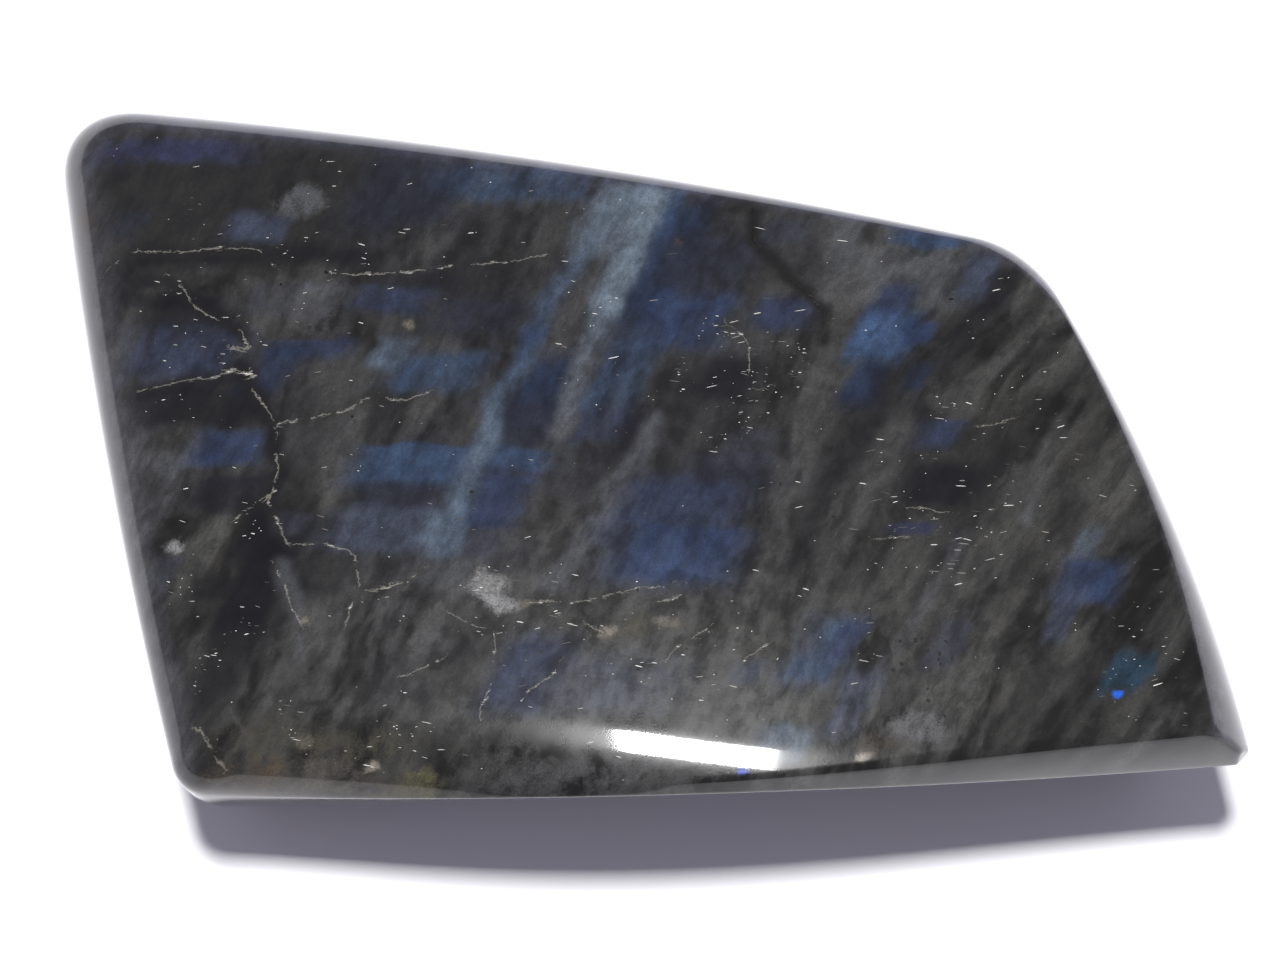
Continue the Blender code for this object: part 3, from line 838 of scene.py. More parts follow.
def store_lines(mesh, name, veins, x, y):
    """Keep how far each point is from the nearest of some lines, with and without the side of it."""
    near, signed = np.full(x.shape, NO_LINE), np.full(x.shape, NO_LINE)
    for vein in veins:
        gap, side, share = line_distance(vein.points, x, y)
        edge = gap - vein.half * (1.0 - VEIN_TAPER * np.abs(2.0 * share - 1.0))
        closer = gap < near
        near = np.where(closer, gap, near)
        signed = np.where(closer, side * gap / vein.half, signed)
    for suffix, values in (("_near", near), ("_across", signed)):
        mesh.attributes.new(name + suffix, "FLOAT", "POINT").data.foreach_set("value", values)


def store_zone(mesh, name, spots, x, y, ground, facing, clusters):
    """Keep how thickly something is strewn, in clusters and on the faces that look up."""
    thickly = np.full(x.shape, ground)
    for spot in spots:
        thickly = np.maximum(thickly, spot_cover(spot, x, y))
    thickly *= smooth(facing, *UPWARD) * (CLUSTER_LEAST + CLUSTER_MORE * smooth(clusters, *CLUSTER_SPAN))
    mesh.attributes.new(name, "FLOAT", "POINT").data.foreach_set("value", thickly)


def mark_places(points, form):
    """Place of each point on the plan of the markings, with its wander, as x and y."""
    down = TOP_HEIGHT - points[:, 2]
    broad = noise_at(points, form.warp_size / MM, WARP_SEED)
    fine = noise_at(points, form.warp_size / MM / FINE_WARP, FINE_WARP_SEED)
    wander = form.warp / MM * (broad + FINE_WARP_SHARE * fine)
    return [points[:, axis] - MARKS_PLACE[axis] + down * DIP[axis] + wander[:, axis] for axis in range(2)]


def paint_rim_reflection(paint, facing, share):
    """Paint a reflection on the faces at the rim, toned by the side that they face: far, right or left."""
    tilt = 1.0 - facing[:, 2]
    length = np.maximum(np.linalg.norm(facing[:, :2], axis=1), 1e-6)
    way = facing[:, :2] / length[:, None]
    rim = smooth(tilt, *RIM_BEGINS) * (1.0 - smooth(tilt, *RIM_ENDS))
    for tone, turned in ((REFLECTED_LILAC, way[:, 1]), (REFLECTED_PEARL, way[:, 0]), (REFLECTED_GREY, -way[:, 0])):
        paint.add(linear(tone, share), REFLECTION_STRENGTH * rim * smooth(turned, *RIM_TURN))


def mark_stone(mesh, form):
    """Lay the flashes, streaks, veils, stains and lines out over the stone, with painted light: a
    reflection on the rim, a glow by the highlight and glints.
    """
    points = mesh_points(mesh) / MM
    x, y = mark_places(points, form)
    facing = np.empty(len(points) * 3)
    mesh.vertex_normals.foreach_get("vector", facing)
    facing = facing.reshape(-1, 3)
    share = form.light_share
    ground = linear(GROUND, share)

    flashes_and_rim_reflection = Paint(len(points), ground)
    for patch in ZONES + FLASHES:
        flashes_and_rim_reflection.add(linear(patch.tone, share), patch_cover(patch, x, y))
    for stroke in STROKES:
        gap, _, along = line_distance(stroke.points, x, y)
        start, end = linear(stroke.start, share), linear(stroke.end, share)
        colour = start + (end - start) * along[:, None]
        flashes_and_rim_reflection.add(colour, ramp(stroke.width / 2.0 - gap, SOFT_SHARE * stroke.width) * stroke.strength)
    # Painted reflection of the floor and the room on the rim
    paint_rim_reflection(flashes_and_rim_reflection, facing, share)
    flashes_and_rim_reflection.store(mesh, "flashes_and_rim_reflection")

    spots = Paint(len(points), ground)
    for spot in SPOTS:
        spots.add(linear(spot.tone, share), spot_cover(spot, x, y))
    spots.store(mesh, "spots")

    store_lines(mesh, "vein", VEINS, x, y)
    store_lines(mesh, "crack", CRACKS, x, y)
    clusters = noise_at(points, form.cluster_size / MM, CLUSTER_SEED)
    store_zone(mesh, "glint_zone", GLINT_ZONES, x, y, GLINT_GROUND, facing[:, 2], clusters[:, 0])
    store_zone(mesh, "pit_zone", PIT_ZONES, x, y, PIT_GROUND, facing[:, 2], clusters[:, 1])


def node(tree, kind, inputs=None, **settings):
    """New node with settings, and with its inputs set to values or linked to sockets."""
    new = tree.nodes.new(kind)
    for name, value in settings.items():
        setattr(new, name, value)
    for key, value in (inputs or {}).items():
        if isinstance(value, bpy.types.NodeSocket):
            tree.links.new(value, new.inputs[key])
        else:
            new.inputs[key].default_value = value
    return new


def maths(tree, operation, first, second=0.0, clamp=False):
    """Result of a calculation with two values."""
    inputs = {0: first, 1: second}
    return node(tree, "ShaderNodeMath", inputs, operation=operation, use_clamp=clamp).outputs[0]


def times(tree, first, second):
    """Product of two values."""
    return maths(tree, "MULTIPLY", first, second)


def less(tree, first, second):
    """First value less the second."""
    return maths(tree, "SUBTRACT", first, second)


def weighted(tree, *pairs, base=0.0):
    """Base plus the sum of some values, each times its weight."""
    total = base
    for value, weight in pairs:
        total = node(tree, "ShaderNodeMath", {0: value, 1: weight, 2: total},
                     operation="MULTIPLY_ADD").outputs[0]
    return total


def vector_maths(tree, operation, first, second):
    """Result of a calculation with two vectors."""
    return node(tree, "ShaderNodeVectorMath", {0: first, 1: second}, operation=operation).outputs[0]


def scaled(tree, vector, factor):
    """Vector or colour times a factor."""
    return node(tree, "ShaderNodeVectorMath", {0: vector, "Scale": factor}, operation="SCALE").outputs[0]


def step_over(tree, value, step):
    """Value that goes over smoothly as a step says."""
    low, high, start, end = step
    inputs = {"Value": value, "From Min": low, "From Max": high, "To Min": start, "To Max": end}
    return node(tree, "ShaderNodeMapRange", inputs, interpolation_type="SMOOTHSTEP").outputs[0]


def blend(tree, factor, first, second):
    """Mix of two colours."""
    return node(tree, "ShaderNodeMix", {0: factor, 6: first, 7: second}, data_type="RGBA").outputs[2]


def grain(tree, where, kind):
    """Noise in the stone at a place in mm."""
    inputs = {"Vector": where, "Location": (kind.seed,) * 3, "Rotation": kind.turn, "Scale": kind.size}
    mapped = node(tree, "ShaderNodeMapping", inputs, vector_type="TEXTURE").outputs[0]
    inputs = {"Vector": mapped, "Scale": 1.0, "Detail": kind.detail, "Roughness": kind.roughness}
    return node(tree, "ShaderNodeTexNoise", inputs).outputs[0]


def new_group(name, inputs, outputs):
    """Empty shader group with named sockets, and its two end nodes."""
    group = bpy.data.node_groups.new(name, "ShaderNodeTree")
    for label, kind, default in inputs:
        socket = group.interface.new_socket(label, in_out="INPUT", socket_type=kind)
        if default is not None:
            socket.default_value = default
    for label, kind in outputs:
        group.interface.new_socket(label, in_out="OUTPUT", socket_type=kind)
    return group, group.nodes.new("NodeGroupInput"), group.nodes.new("NodeGroupOutput")


LAMELLA_TURN = (math.radians(14.0), math.radians(-8.0), LAMELLA_ANGLE)
DASH_TURN = (0.0, 0.0, 0.1)
NO_TURN = (0.0, 0.0, 0.0)

# A noise in the stone: size of its blotches in mm along the axes of its turn, the turn, detail,
# roughness and seed
Grain = namedtuple("Grain", "size turn detail roughness seed")
LAMELLAE = {
    "Broad": Grain((15.0, 6.0, 9.0), LAMELLA_TURN, 2.0, 0.55, 0.0),
    "Wisps": Grain((15.0, 3.6, 9.0), LAMELLA_TURN, 1.5, 0.55, 3.7),
    "Streaks": Grain((7.0, 1.5, 5.0), LAMELLA_TURN, 2.5, 0.55, 7.4),
    "Lines": Grain((9.0, 0.6, 5.0), LAMELLA_TURN, 1.5, 0.55, 11.1),
    "Mottle": Grain((2.4, 1.8, 2.0), LAMELLA_TURN, 4.0, 0.55, 18.5),
}
FLAKES = Grain((1.3, 0.6, 0.9), LAMELLA_TURN, 4.0, 0.7, 5.0)
GRIT = Grain((0.2, 0.2, 0.2), NO_TURN, 3.0, 0.65, 2.0)
WOBBLE = Grain((0.45, 0.45, 0.45), NO_TURN, 3.0, 0.55, 0.0)
GAPS = Grain((2.2, 2.2, 2.2), NO_TURN, 3.0, 0.6, 4.0)
DASHES = Grain((1.1, 0.17, 0.6), DASH_TURN, 3.0, 0.6, 8.0)
UNEVEN = Grain((0.8, 0.8, 0.8), NO_TURN, 2.0, 0.5, 6.0)

# A step: the two values between which it goes over, and what it goes from and to
LAMELLA_STEP = (0.28, 0.72, 0.0, 1.0)
GROUND_STEP = (0.22, 0.78, 0.0, 1.0)
WISP_STEP = (0.45, 1.0, 0.0, 0.7)
WISP_MOTTLE_STEP = (0.1, 0.8, 0.35, 1.0)
STREAK_STEP = (0.7, 1.0, 0.0, 0.15)
FINE_LINE_STEP = (0.15, 0.0, 0.0, 0.25)
SPOT_STEP = (0.2, 0.6, 0.65, 1.0)
FLAKE_STEP = (0.32, 0.68, 0.84, 1.16)
GRIT_STEP = (0.25, 0.75, 0.78, 1.22)
GAP_STEP = (0.25, 0.75, 0.0, 1.0)
DASH_STEP = (0.56, 0.64, 0.0, 1.0)
UNEVEN_STEP = (0.42, 0.64, 0.1, 1.0)
BREAK_STEP = (-0.12, 0.12, 0.0, 1.0)
SLIVER_STEP = (0.1, 1.0, 0.0, 1.0)
PIT_STEP = (0.02, 0.0, 0.0, 1.0)
ROUGHNESS_STEP = (0.0, 1.0, 0.14, 0.2)
# The same by the distance from a line in mm, and for its edge by the share of its half width
LINE_REACH = (0.4, 0.8, 1.0, 0.0)
BEAD_GLINT_REACH = (0.0, 0.3, 1.0, 0.0)
SEAM_REACH = (0.2, 1.3, 1.0, 0.0)
LINE_EDGE = (0.2, 1.0, 1.0, 0.0)
LINE_WOBBLE = 5.0

# The lamellae lean over further to the right, by the place in mm, and bend by some mm in slow bends
LEAN_OVER_STEP = (8.0, 44.0, 0.0, 0.34)
BENDS_PER_MM = 0.12
BEND_BY = 3.0


def lamella_group():
    """Streaks along the lamellae, broad and fine, and mottling, as values from 0 to 1."""
    group, start, end = new_group("lamellae", (("Place", "NodeSocketVector", None),),
                                  [(label, "NodeSocketFloat") for label in LAMELLAE])
    x, y, z = node(group, "ShaderNodeSeparateXYZ", {0: start.outputs["Place"]}).outputs[:3]
    lean = times(group, step_over(group, x, LEAN_OVER_STEP), y)
    where = node(group, "ShaderNodeCombineXYZ", {0: less(group, x, lean), 1: y, 2: z}).outputs[0]
    bend = node(group, "ShaderNodeTexNoise", {"Vector": where, "Scale": BENDS_PER_MM, "Detail": 2.0})
    bend = vector_maths(group, "SUBTRACT", bend.outputs["Color"], (0.5, 0.5, 0.5))
    where = vector_maths(group, "ADD", where, scaled(group, bend, BEND_BY))
    for label, kind in LAMELLAE.items():
        value = step_over(group, grain(group, where, kind), LAMELLA_STEP)
        group.links.new(value, end.inputs[label])
    return group


def line_group():
    """Masks of a thin broken line, of short dashes of painted glint along it and of the wide seam that
    it lies in, which is painted shade by the cracks.
    """
    inputs = (("Place", "NodeSocketVector", None), ("Across", "NodeSocketFloat", NO_LINE),
              ("Near", "NodeSocketFloat", NO_LINE), ("Unbroken", "NodeSocketFloat", 0.5))
    labels = ("Mask", "Bead glints", "Seam")
    group, start, end = new_group("thin line", inputs, [(label, "NodeSocketFloat") for label in labels])
    where, across, near, unbroken = start.outputs[:4]
    wobble = less(group, grain(group, where, WOBBLE), 0.5)
    away = maths(group, "ABSOLUTE", weighted(group, (wobble, LINE_WOBBLE), base=across))
    line = step_over(group, away, LINE_EDGE)
    close = step_over(group, near, LINE_REACH)
    whole = step_over(group, grain(group, where, GAPS), GAP_STEP)
    kept = step_over(group, less(group, whole, less(group, 1.0, unbroken)), BREAK_STEP)
    mask = times(group, times(group, line, close), kept)

    dashes = step_over(group, grain(group, where, DASHES), DASH_STEP)
    around = step_over(group, near, BEAD_GLINT_REACH)
    uneven = step_over(group, grain(group, where, UNEVEN), UNEVEN_STEP)
    bead_glints = times(group, times(group, times(group, around, dashes), kept), uneven)
    seam = step_over(group, near, SEAM_REACH)
    for label, value in zip(labels, (mask, bead_glints, seam)):
        group.links.new(value, end.inputs[label])
    return group


def group_node(tree, group, inputs):
    """A group used as a node."""
    return node(tree, "ShaderNodeGroup", inputs, node_tree=group)


def attribute(tree, name):
    """Node that reads an attribute of the mesh."""
    return node(tree, "ShaderNodeAttribute", attribute_name=name)


def feather(tree, cover, streaks, amount):
    """Cover broken up by streaks where it is partial."""
    partial = times(tree, less(tree, 1.0, cover), times(tree, cover, 4.0))
    shift = times(tree, less(tree, streaks, 0.5), times(tree, partial, amount))
    return maths(tree, "ADD", cover, shift, clamp=True)


def millimetres(tree):
    """Place on the stone in millimetres."""
    return scaled(tree, node(tree, "ShaderNodeTexCoord").outputs["Object"], 1.0 / MM)


# The polish: how strongly it bends light, its fine scratches, and the faint shine of the stone under it
STONE_IOR = 1.56
POLISH_ROUGHNESS = 0.035
STONE_SHINE = 0.045
SLIVER_ROUGHNESS = 0.3


def polish(surface):
    """Clear polished finish over a faint haze of fine scratches."""
    surface.inputs["IOR"].default_value = STONE_IOR
    surface.inputs["Specular IOR Level"].default_value = STONE_SHINE
    surface.inputs["Coat IOR"].default_value = STONE_IOR
    surface.inputs["Coat Roughness"].default_value = POLISH_ROUGHNESS


def new_material(name):
    """Empty material with its node tree and its surface node."""
    material = bpy.data.materials.new(name)
    material.use_nodes = True
    return material, material.node_tree, material.node_tree.nodes["Principled BSDF"]


# Shares of the broad streaks, the wisps and the mottling in the ground, of streaks, mottling and wisps
# in the sheen of the patches, and of the coarse and fine noise that breaks up edges
GROUND_MIX = (0.4, 0.38, 0.22)
SHEEN_MIX = (0.2, 0.5, 0.3)
SHEEN_BASE = 0.5
RAGGED_MIX = (0.6, 0.4)
FEATHER = 0.8               # how far streaks break up the edges of patches, and grit those of spots
SPOT_FEATHER = 2.2
# How much of each line is drawn: its wide seam (painted shade by cracks), the line, and its painted glints
CRACK_SHARES = (0.5, 0.25)
VEIN_SHARES = (0.25, 0.75, 1.0)
UNBROKEN = {"vein": 0.6, "crack": 0.5}
LINE_DEPTH = {"vein": 0.7, "crack": 0.4}
COAT_LOSS = 0.7             # how much of the polish a line of full depth takes away
GRIT_RELIEF = 0.1
RELIEF = 0.05 * MM
RELIEF_STRENGTH = 0.6


def ground_colour(tree, paint, broad, wisps, streaks, lines, mottle):
    """Colour of the stone between its patches, with pale wisps and streaks and fine dark lines."""
    tone = weighted(tree, *zip((broad, wisps, mottle), GROUND_MIX))
    colour = blend(tree, step_over(tree, tone, GROUND_STEP), paint(GROUND_DARK), paint(GROUND_LIGHT))
    light_wisps = times(tree, step_over(tree, wisps, WISP_STEP), step_over(tree, mottle, WISP_MOTTLE_STEP))
    colour = blend(tree, light_wisps, colour, paint(WISP))
    colour = blend(tree, step_over(tree, streaks, STREAK_STEP), colour, paint(STREAK))
    return blend(tree, step_over(tree, lines, FINE_LINE_STEP), colour, paint(FINE_LINE))


def stone_material(form):
    """Polished stone: dark ground, flashes, veils, stains, veins and cracks under a clear polish, with
    painted light: a rim reflection, a glow by the highlight, shade by the cracks and glints on veins.
    """
    material, tree, surface = new_material("polished_labradorite")

    def paint(tone):
        return (*linear(tone, form.light_share), 1.0)

    where = millimetres(tree)
    lamellae = group_node(tree, lamella_group(), {"Place": where})
    broad, wisps, streaks, lines, mottle = lamellae.outputs[:5]
    grit = grain(tree, where, GRIT)
    colour = ground_colour(tree, paint, broad, wisps, streaks, lines, mottle)

    flashes_and_rim_reflection = attribute(tree, "flashes_and_rim_reflection")
    ragged = weighted(tree, *zip((streaks, mottle), RAGGED_MIX))
    cover = feather(tree, flashes_and_rim_reflection.outputs["Alpha"], ragged, FEATHER)
    sheen = weighted(tree, *zip((streaks, mottle, wisps), SHEEN_MIX), base=SHEEN_BASE)
    colour = blend(tree, cover, colour, scaled(tree, flashes_and_rim_reflection.outputs["Color"], sheen))

    spots = attribute(tree, "spots")
    ragged = weighted(tree, *zip((mottle, grit), RAGGED_MIX))
    cloudy = feather(tree, spots.outputs["Alpha"], ragged, SPOT_FEATHER)
    cloudy = times(tree, cloudy, step_over(tree, grit, SPOT_STEP))
    colour = blend(tree, cloudy, colour, spots.outputs["Color"])

    thin = line_group()
    drawn = {}
    for name, unbroken in UNBROKEN.items():
        inputs = {"Place": where, "Unbroken": unbroken,
                  "Across": attribute(tree, name + "_across").outputs["Fac"],
                  "Near": attribute(tree, name + "_near").outputs["Fac"]}
        drawn[name] = group_node(tree, thin, inputs).outputs
    # Cracks get painted shade round their dark line; veins a seam, the line and painted glints
    crack_tones = zip(("Seam", "Mask"), CRACK_SHARES, (CRACK_SHADE, CRACK_LINE))
    vein_tones = zip(("Seam", "Mask", "Bead glints"), VEIN_SHARES, (VEIN_SEAM, VEIN_LINE, VEIN_BEAD_GLINT))
    for name, tones in (("crack", crack_tones), ("vein", vein_tones)):
        for label, share, tone in tones:
            colour = blend(tree, times(tree, drawn[name][label], share), colour, paint(tone))
    flakes = grain(tree, where, FLAKES)
    colour = scaled(tree, colour, step_over(tree, flakes, FLAKE_STEP))
    colour = scaled(tree, colour, step_over(tree, grit, GRIT_STEP))
    tree.links.new(colour, surface.inputs["Base Color"])

    depths = [times(tree, drawn[name]["Mask"], depth) for name, depth in LINE_DEPTH.items()]
    open_lines = maths(tree, "MAXIMUM", *depths)
    tree.links.new(weighted(tree, (open_lines, -COAT_LOSS), base=1.0), surface.inputs["Coat Weight"])
    tree.links.new(step_over(tree, mottle, ROUGHNESS_STEP), surface.inputs["Roughness"])
    polish(surface)
    dent = weighted(tree, (open_lines, -1.0), (grit, GRIT_RELIEF))
    bump = node(tree, "ShaderNodeBump", {"Height": dent, "Distance": RELIEF, "Strength": RELIEF_STRENGTH})
    tree.links.new(bump.outputs[0], surface.inputs["Normal"])
    return material


def fleck_material(form):
    """Tiny cleavage faces and grains, pale or dark by their shine, the pale ones painted glints."""
    material, tree, surface = new_material("flecks")
    shine = attribute(tree, "shine").outputs["Fac"]
    tones = (GLINT_DULL, GLINT_BRIGHT, PIT)
    dull, bright, dark = [(*linear(tone, form.light_share), 1.0) for tone in tones]
    colour = blend(tree, step_over(tree, shine, SLIVER_STEP), dull, bright)
    colour = blend(tree, step_over(tree, shine, PIT_STEP), colour, dark)
    tree.links.new(colour, surface.inputs["Base Color"])
    surface.inputs["Roughness"].default_value = SLIVER_ROUGHNESS
    surface.inputs["Coat Weight"].default_value = 1.0
    polish(surface)
    return material


# The strewn slivers, glints and pits, by the first word of their zone: seed, sizes in metres, how far
# they turn either way, and the shine of the dullest and the brightest
FLECKS = {
    "glint": {"Seed": 7, "Shortest": 0.14 * MM, "Longest": 1.3 * MM, "Thickness": 0.085 * MM,
              "Swing": 0.35, "Dullest": 0.1, "Brightest": 1.0},
    "pit": {"Seed": 11, "Shortest": 0.25 * MM, "Longest": 0.7 * MM, "Thickness": 0.4 * MM,
            "Swing": 1.5, "Dullest": 0.0, "Brightest": 0.0},
}
FLECK_VALUES = ("Shortest", "Longest", "Thickness", "Swing", "Dullest", "Brightest", "Lift")
FLECK_INPUTS = (("Density", "NodeSocketFloat"), ("Seed", "NodeSocketInt"),
                *((label, "NodeSocketFloat") for label in FLECK_VALUES),
                ("Material", "NodeSocketMaterial"))
FLECK_SIDES = 6
MOSTLY_SHORT = 3.5          # how much shorter slivers and duller ones outnumber the others
MOSTLY_DULL = 1.4
THICKNESS_SPREAD = (0.6, 1.4)


def fleck_tree(name, zone):
    """Geometry nodes that strew slivers over a surface, as thickly as the attribute zone says."""
    tree = bpy.data.node_groups.new(name, "GeometryNodeTree")
    tree.interface.new_socket("Geometry", in_out="INPUT", socket_type="NodeSocketGeometry")
    for label, kind in FLECK_INPUTS:
        tree.interface.new_socket(label, in_out="INPUT", socket_type=kind)
    tree.interface.new_socket("Geometry", in_out="OUTPUT", socket_type="NodeSocketGeometry")
    given = tree.nodes.new("NodeGroupInput").outputs

    def spread(low, high, salt):
        inputs = {"Min": low, "Max": high, "Seed": salt}
        return node(tree, "FunctionNodeRandomValue", inputs, data_type="FLOAT").outputs[1]

    def vector(**parts):
        return node(tree, "ShaderNodeCombineXYZ", parts).outputs[0]

    thickly = node(tree, "GeometryNodeInputNamedAttribute", {"Name": zone}, data_type="FLOAT").outputs[0]
    inputs = {"Mesh": given["Geometry"], "Density": times(tree, thickly, given["Density"]),
              "Seed": given["Seed"]}
    strewn = node(tree, "GeometryNodeDistributePointsOnFaces", inputs).outputs["Points"]
    sliver = node(tree, "GeometryNodeMeshCircle", {"Vertices": FLECK_SIDES, "Radius": 0.5},
                  fill_type="NGON").outputs[0]
    inputs = {"Value": maths(tree, "POWER", spread(0.0, 1.0, 1), MOSTLY_SHORT),
              "To Min": given["Shortest"], "To Max": given["Longest"]}
    length = node(tree, "ShaderNodeMapRange", inputs).outputs[0]
    thick = times(tree, given["Thickness"], spread(*THICKNESS_SPREAD, 2))
    turn = spread(times(tree, given["Swing"], -1.0), given["Swing"], 3)
    inputs = {"Points": strewn, "Instance": sliver, "Rotation": vector(Z=turn),
              "Scale": vector(X=length, Y=thick, Z=1.0)}
    placed = node(tree, "GeometryNodeInstanceOnPoints", inputs).outputs[0]
    shine = maths(tree, "POWER", spread(given["Dullest"], 1.0, 4), MOSTLY_DULL)
    inputs = {"Geometry": placed, "Name": "shine", "Value": times(tree, given["Brightest"], shine)}
    shining = node(tree, "GeometryNodeStoreNamedAttribute", inputs, data_type="FLOAT",
                   domain="INSTANCE").outputs[0]
    inputs = {"Instances": shining, "Translation": vector(Z=given["Lift"])}
    lifted = node(tree, "GeometryNodeTranslateInstances", inputs).outputs[0]
    solid = node(tree, "GeometryNodeRealizeInstances", {"Geometry": lifted}).outputs[0]
    inputs = {"Geometry": solid, "Material": given["Material"]}
    dressed = node(tree, "GeometryNodeSetMaterial", inputs).outputs[0]
    end = tree.nodes.new("NodeGroupOutput")
    tree.links.new(dressed, end.inputs[0])
    return tree


def strewn_mesh(context, mesh, name, zone, values):
    """Plain mesh of the slivers that a fleck tree strews over a mesh."""
    tree = fleck_tree(name, zone)
    carrier = bpy.data.objects.new(name, mesh)
    context.scene.collection.objects.link(carrier)
    modifier = carrier.modifiers.new(name, "NODES")
    modifier.node_group = tree
    for item in tree.interface.items_tree:
        if item.in_out == "INPUT" and item.name in values:
            modifier[item.identifier] = values[item.name]
    context.view_layer.update()
    result = bpy.data.meshes.new_from_object(carrier.evaluated_get(context.evaluated_depsgraph_get()))
    bpy.data.objects.remove(carrier, do_unlink=True)
    return result


def joined(context, name, meshes):
    """One object made of several meshes, with the first one's name for its mesh."""
    pieces = []
    for mesh in meshes:
        piece = bpy.data.objects.new(name, mesh)
        context.scene.collection.objects.link(piece)
        pieces.append(piece)
    with context.temp_override(active_object=pieces[0], selected_editable_objects=pieces):
        bpy.ops.object.join()
    return pieces[0]


def length(name, description, size, precision=5):
    """Property that holds a length given in mm."""
    return FloatProperty(name=name, description=description, default=size * MM, min=0.0, unit="LENGTH",
                         precision=precision)


def tint(name, description, colour):
    """Property that holds a colour."""
    return FloatVectorProperty(name=name, description=description, default=colour, subtype="COLOR",
                               size=4, min=0.0, max=1.0)


class LabradoriteForm(bpy.types.PropertyGroup):
    """Sizes of the stone's finish and markings."""
    softness: length("Edge softness", "Width over which the ground edges are rounded", 0.35)
    chip_depth: length("Chip depth", "Depth of the break at the sharp tip", 0.9)
    wave_height: length("Wave height", "Height of the slight waves in the polish", 0.012, 6)
    wave_length: length("Wave length", "Length of the waves in the polish", 7.0)
    warp: length("Marking warp", "How far the edges of the markings wander", 0.7)
    warp_size: length("Warp size", "Size of the bends in the markings' edges", 4.0)
    cluster_size: length("Cluster size", "Size of the clusters of slivers and pits", 3.0)
    fleck_lift: length("Fleck lift", "Height of the slivers over the polish", 0.006, 6)
    glint_density: FloatProperty(name="Glint density", default=1.2e6, min=0.0,
                                 description="Bright slivers to a square metre, at most")
    pit_density: FloatProperty(name="Pit density", default=5.0e5, min=0.0,
                               description="Dark pits to a square metre, at most")
    light_share: FloatProperty(name="Colour share", default=0.8, min=0.0, max=1.0,
                               description="Stone colour for each part of the seen tone")


class LabradoriteColours(bpy.types.PropertyGroup):
    """Colours of the stage."""
    floor: tint("Floor", "Colour of the pale floor", (0.86, 0.86, 0.87, 1.0))
    surroundings: tint("Surroundings", "Light from the room all round", (0.3, 0.285, 0.36, 1.0))


class LABRADORITE_OT_stone(bpy.types.Operator):
    """Build the polished stone with its markings"""
    bl_idname = "labradorite.stone"
    bl_label = "Stone"

    def execute(self, context):
        form = context.scene.labradorite_form
        mesh = stone_mesh(form)
        wear_surface(mesh, form)
        low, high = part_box(NODE)
        centre_in(mesh, low, high)
        mark_stone(mesh, form)
        mesh.materials.append(stone_material(form))
        flecks = fleck_material(form)
        densities = {"glint": form.glint_density, "pit": form.pit_density}
        parts = [mesh]
        for kind, values in FLECKS.items():
            given = {**values, "Density": densities[kind], "Lift": form.fleck_lift, "Material": flecks}
            parts.append(strewn_mesh(context, mesh, kind + "s", kind + "_zone", given))
        stone = joined(context, "stone", parts)
        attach(stone, "root")
        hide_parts(NODE)
        return {"FINISHED"}


# Camera: place in mm over the base's middle, turn about an axis, lens and width of its sensor in mm
EYE = (6.868, -110.065, 281.55)
EYE_TURN = math.radians(21.819)
EYE_AXIS = (0.99872, 0.04999, 0.00711)
LENS = 77.69
SENSOR = 36.0
NEAREST_SEEN = 0.01

FLOOR_HALF = 1.6
FLOOR_ROUGHNESS = 0.9
# Both lamps face one point and are turned alike about their axis, with the same power in watts
LAMP_AIM = (0.004, -0.02, 0.0)
LAMP_TURN = math.radians(-15.0)
LAMP_POWER = 9.0
# A lamp: place, width and depth in metres, and whether it is mirrored in the polish or lights the rest
Lamp = namedtuple("Lamp", "name place width depth mirrored")
LAMPS = (
    Lamp("key", (-0.0165, 0.076, 0.915), 0.088, 0.1, False),
    Lamp("gleam", (-0.0165, 0.106, 0.915), 0.086, 0.11, True),
)


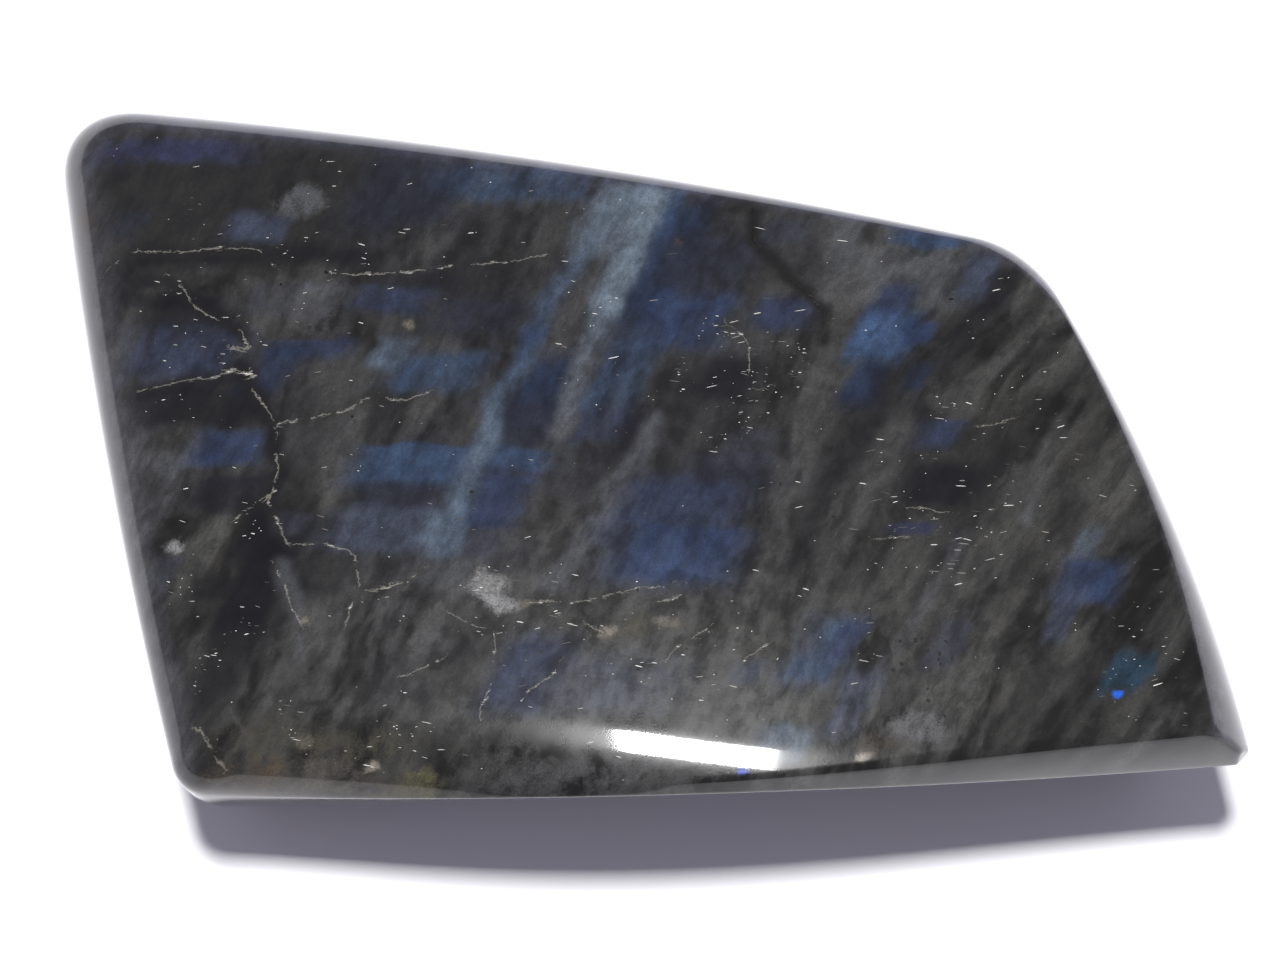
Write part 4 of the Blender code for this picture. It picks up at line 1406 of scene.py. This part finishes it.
class LABRADORITE_OT_stage(bpy.types.Operator):
    """Build the floor, the lamps, the surroundings and the camera"""
    bl_idname = "labradorite.stage"
    bl_label = "Stage"

    def execute(self, context):
        scene, colours = context.scene, context.scene.labradorite_colours
        mesh = bpy.data.meshes.new("floor")
        signs = ((-1, -1), (1, -1), (1, 1), (-1, 1))
        mesh.from_pydata([(FLOOR_HALF * x, FLOOR_HALF * y, 0.0) for x, y in signs], [], [(0, 1, 2, 3)])
        material, _, surface = new_material("floor")
        surface.inputs["Base Color"].default_value = colours.floor
        surface.inputs["Roughness"].default_value = FLOOR_ROUGHNESS
        surface.inputs["Specular IOR Level"].default_value = 0.0
        mesh.materials.append(material)
        floor = bpy.data.objects.new("floor", mesh)
        scene.collection.objects.link(floor)

        for lamp in LAMPS:
            light = bpy.data.lights.new(lamp.name, "AREA")
            light.shape, light.size, light.size_y = "RECTANGLE", lamp.width, lamp.depth
            light.energy = LAMP_POWER
            holder = bpy.data.objects.new(lamp.name, light)
            holder.location = lamp.place
            holder.visible_glossy, holder.visible_diffuse = lamp.mirrored, not lamp.mirrored
            way = Vector(LAMP_AIM) - Vector(lamp.place)
            turned = way.to_track_quat("-Z", "Y").to_matrix() @ Matrix.Rotation(LAMP_TURN, 3, "Z")
            holder.rotation_euler = turned.to_euler()
            scene.collection.objects.link(holder)

        world = bpy.data.worlds.new("surroundings")
        world.use_nodes = True
        world.node_tree.nodes["Background"].inputs["Color"].default_value = colours.surroundings
        scene.world = world

        camera = bpy.data.cameras.new("camera")
        camera.sensor_width, camera.lens = SENSOR, LENS
        camera.clip_start = NEAREST_SEEN
        eye = bpy.data.objects.new("camera", camera)
        turn = Matrix.Rotation(EYE_TURN, 4, Vector(EYE_AXIS))
        eye.matrix_world = Matrix.Translation(Vector(EYE) * MM) @ turn
        scene.collection.objects.link(eye)
        scene.camera = eye
        scene.view_settings.view_transform = "Standard"
        return {"FINISHED"}


class LABRADORITE_PT_panel(bpy.types.Panel):
    """Buttons that build each part"""
    bl_idname = "LABRADORITE_PT_panel"
    bl_label = "Labradorite"
    bl_space_type = "VIEW_3D"
    bl_region_type = "UI"
    bl_category = "Labradorite"

    def draw(self, context):
        for operator in (LABRADORITE_OT_stone, LABRADORITE_OT_stage):
            self.layout.operator(operator.bl_idname)


CLASSES = (LabradoriteForm, LabradoriteColours, LABRADORITE_OT_stone, LABRADORITE_OT_stage,
           LABRADORITE_PT_panel)


def register():
    """Make the add-on's classes and settings known."""
    for kind in CLASSES:
        bpy.utils.register_class(kind)
    bpy.types.Scene.labradorite_form = PointerProperty(type=LabradoriteForm)
    bpy.types.Scene.labradorite_colours = PointerProperty(type=LabradoriteColours)


def unregister():
    """Take the add-on's settings and classes away again."""
    del bpy.types.Scene.labradorite_colours
    del bpy.types.Scene.labradorite_form
    for kind in reversed(CLASSES):
        bpy.utils.unregister_class(kind)


def main():
    """Make the add-on known, and build the stone and the stage."""
    register()
    bpy.ops.labradorite.stone()
    bpy.ops.labradorite.stage()


if __name__ == "__main__":
    main()
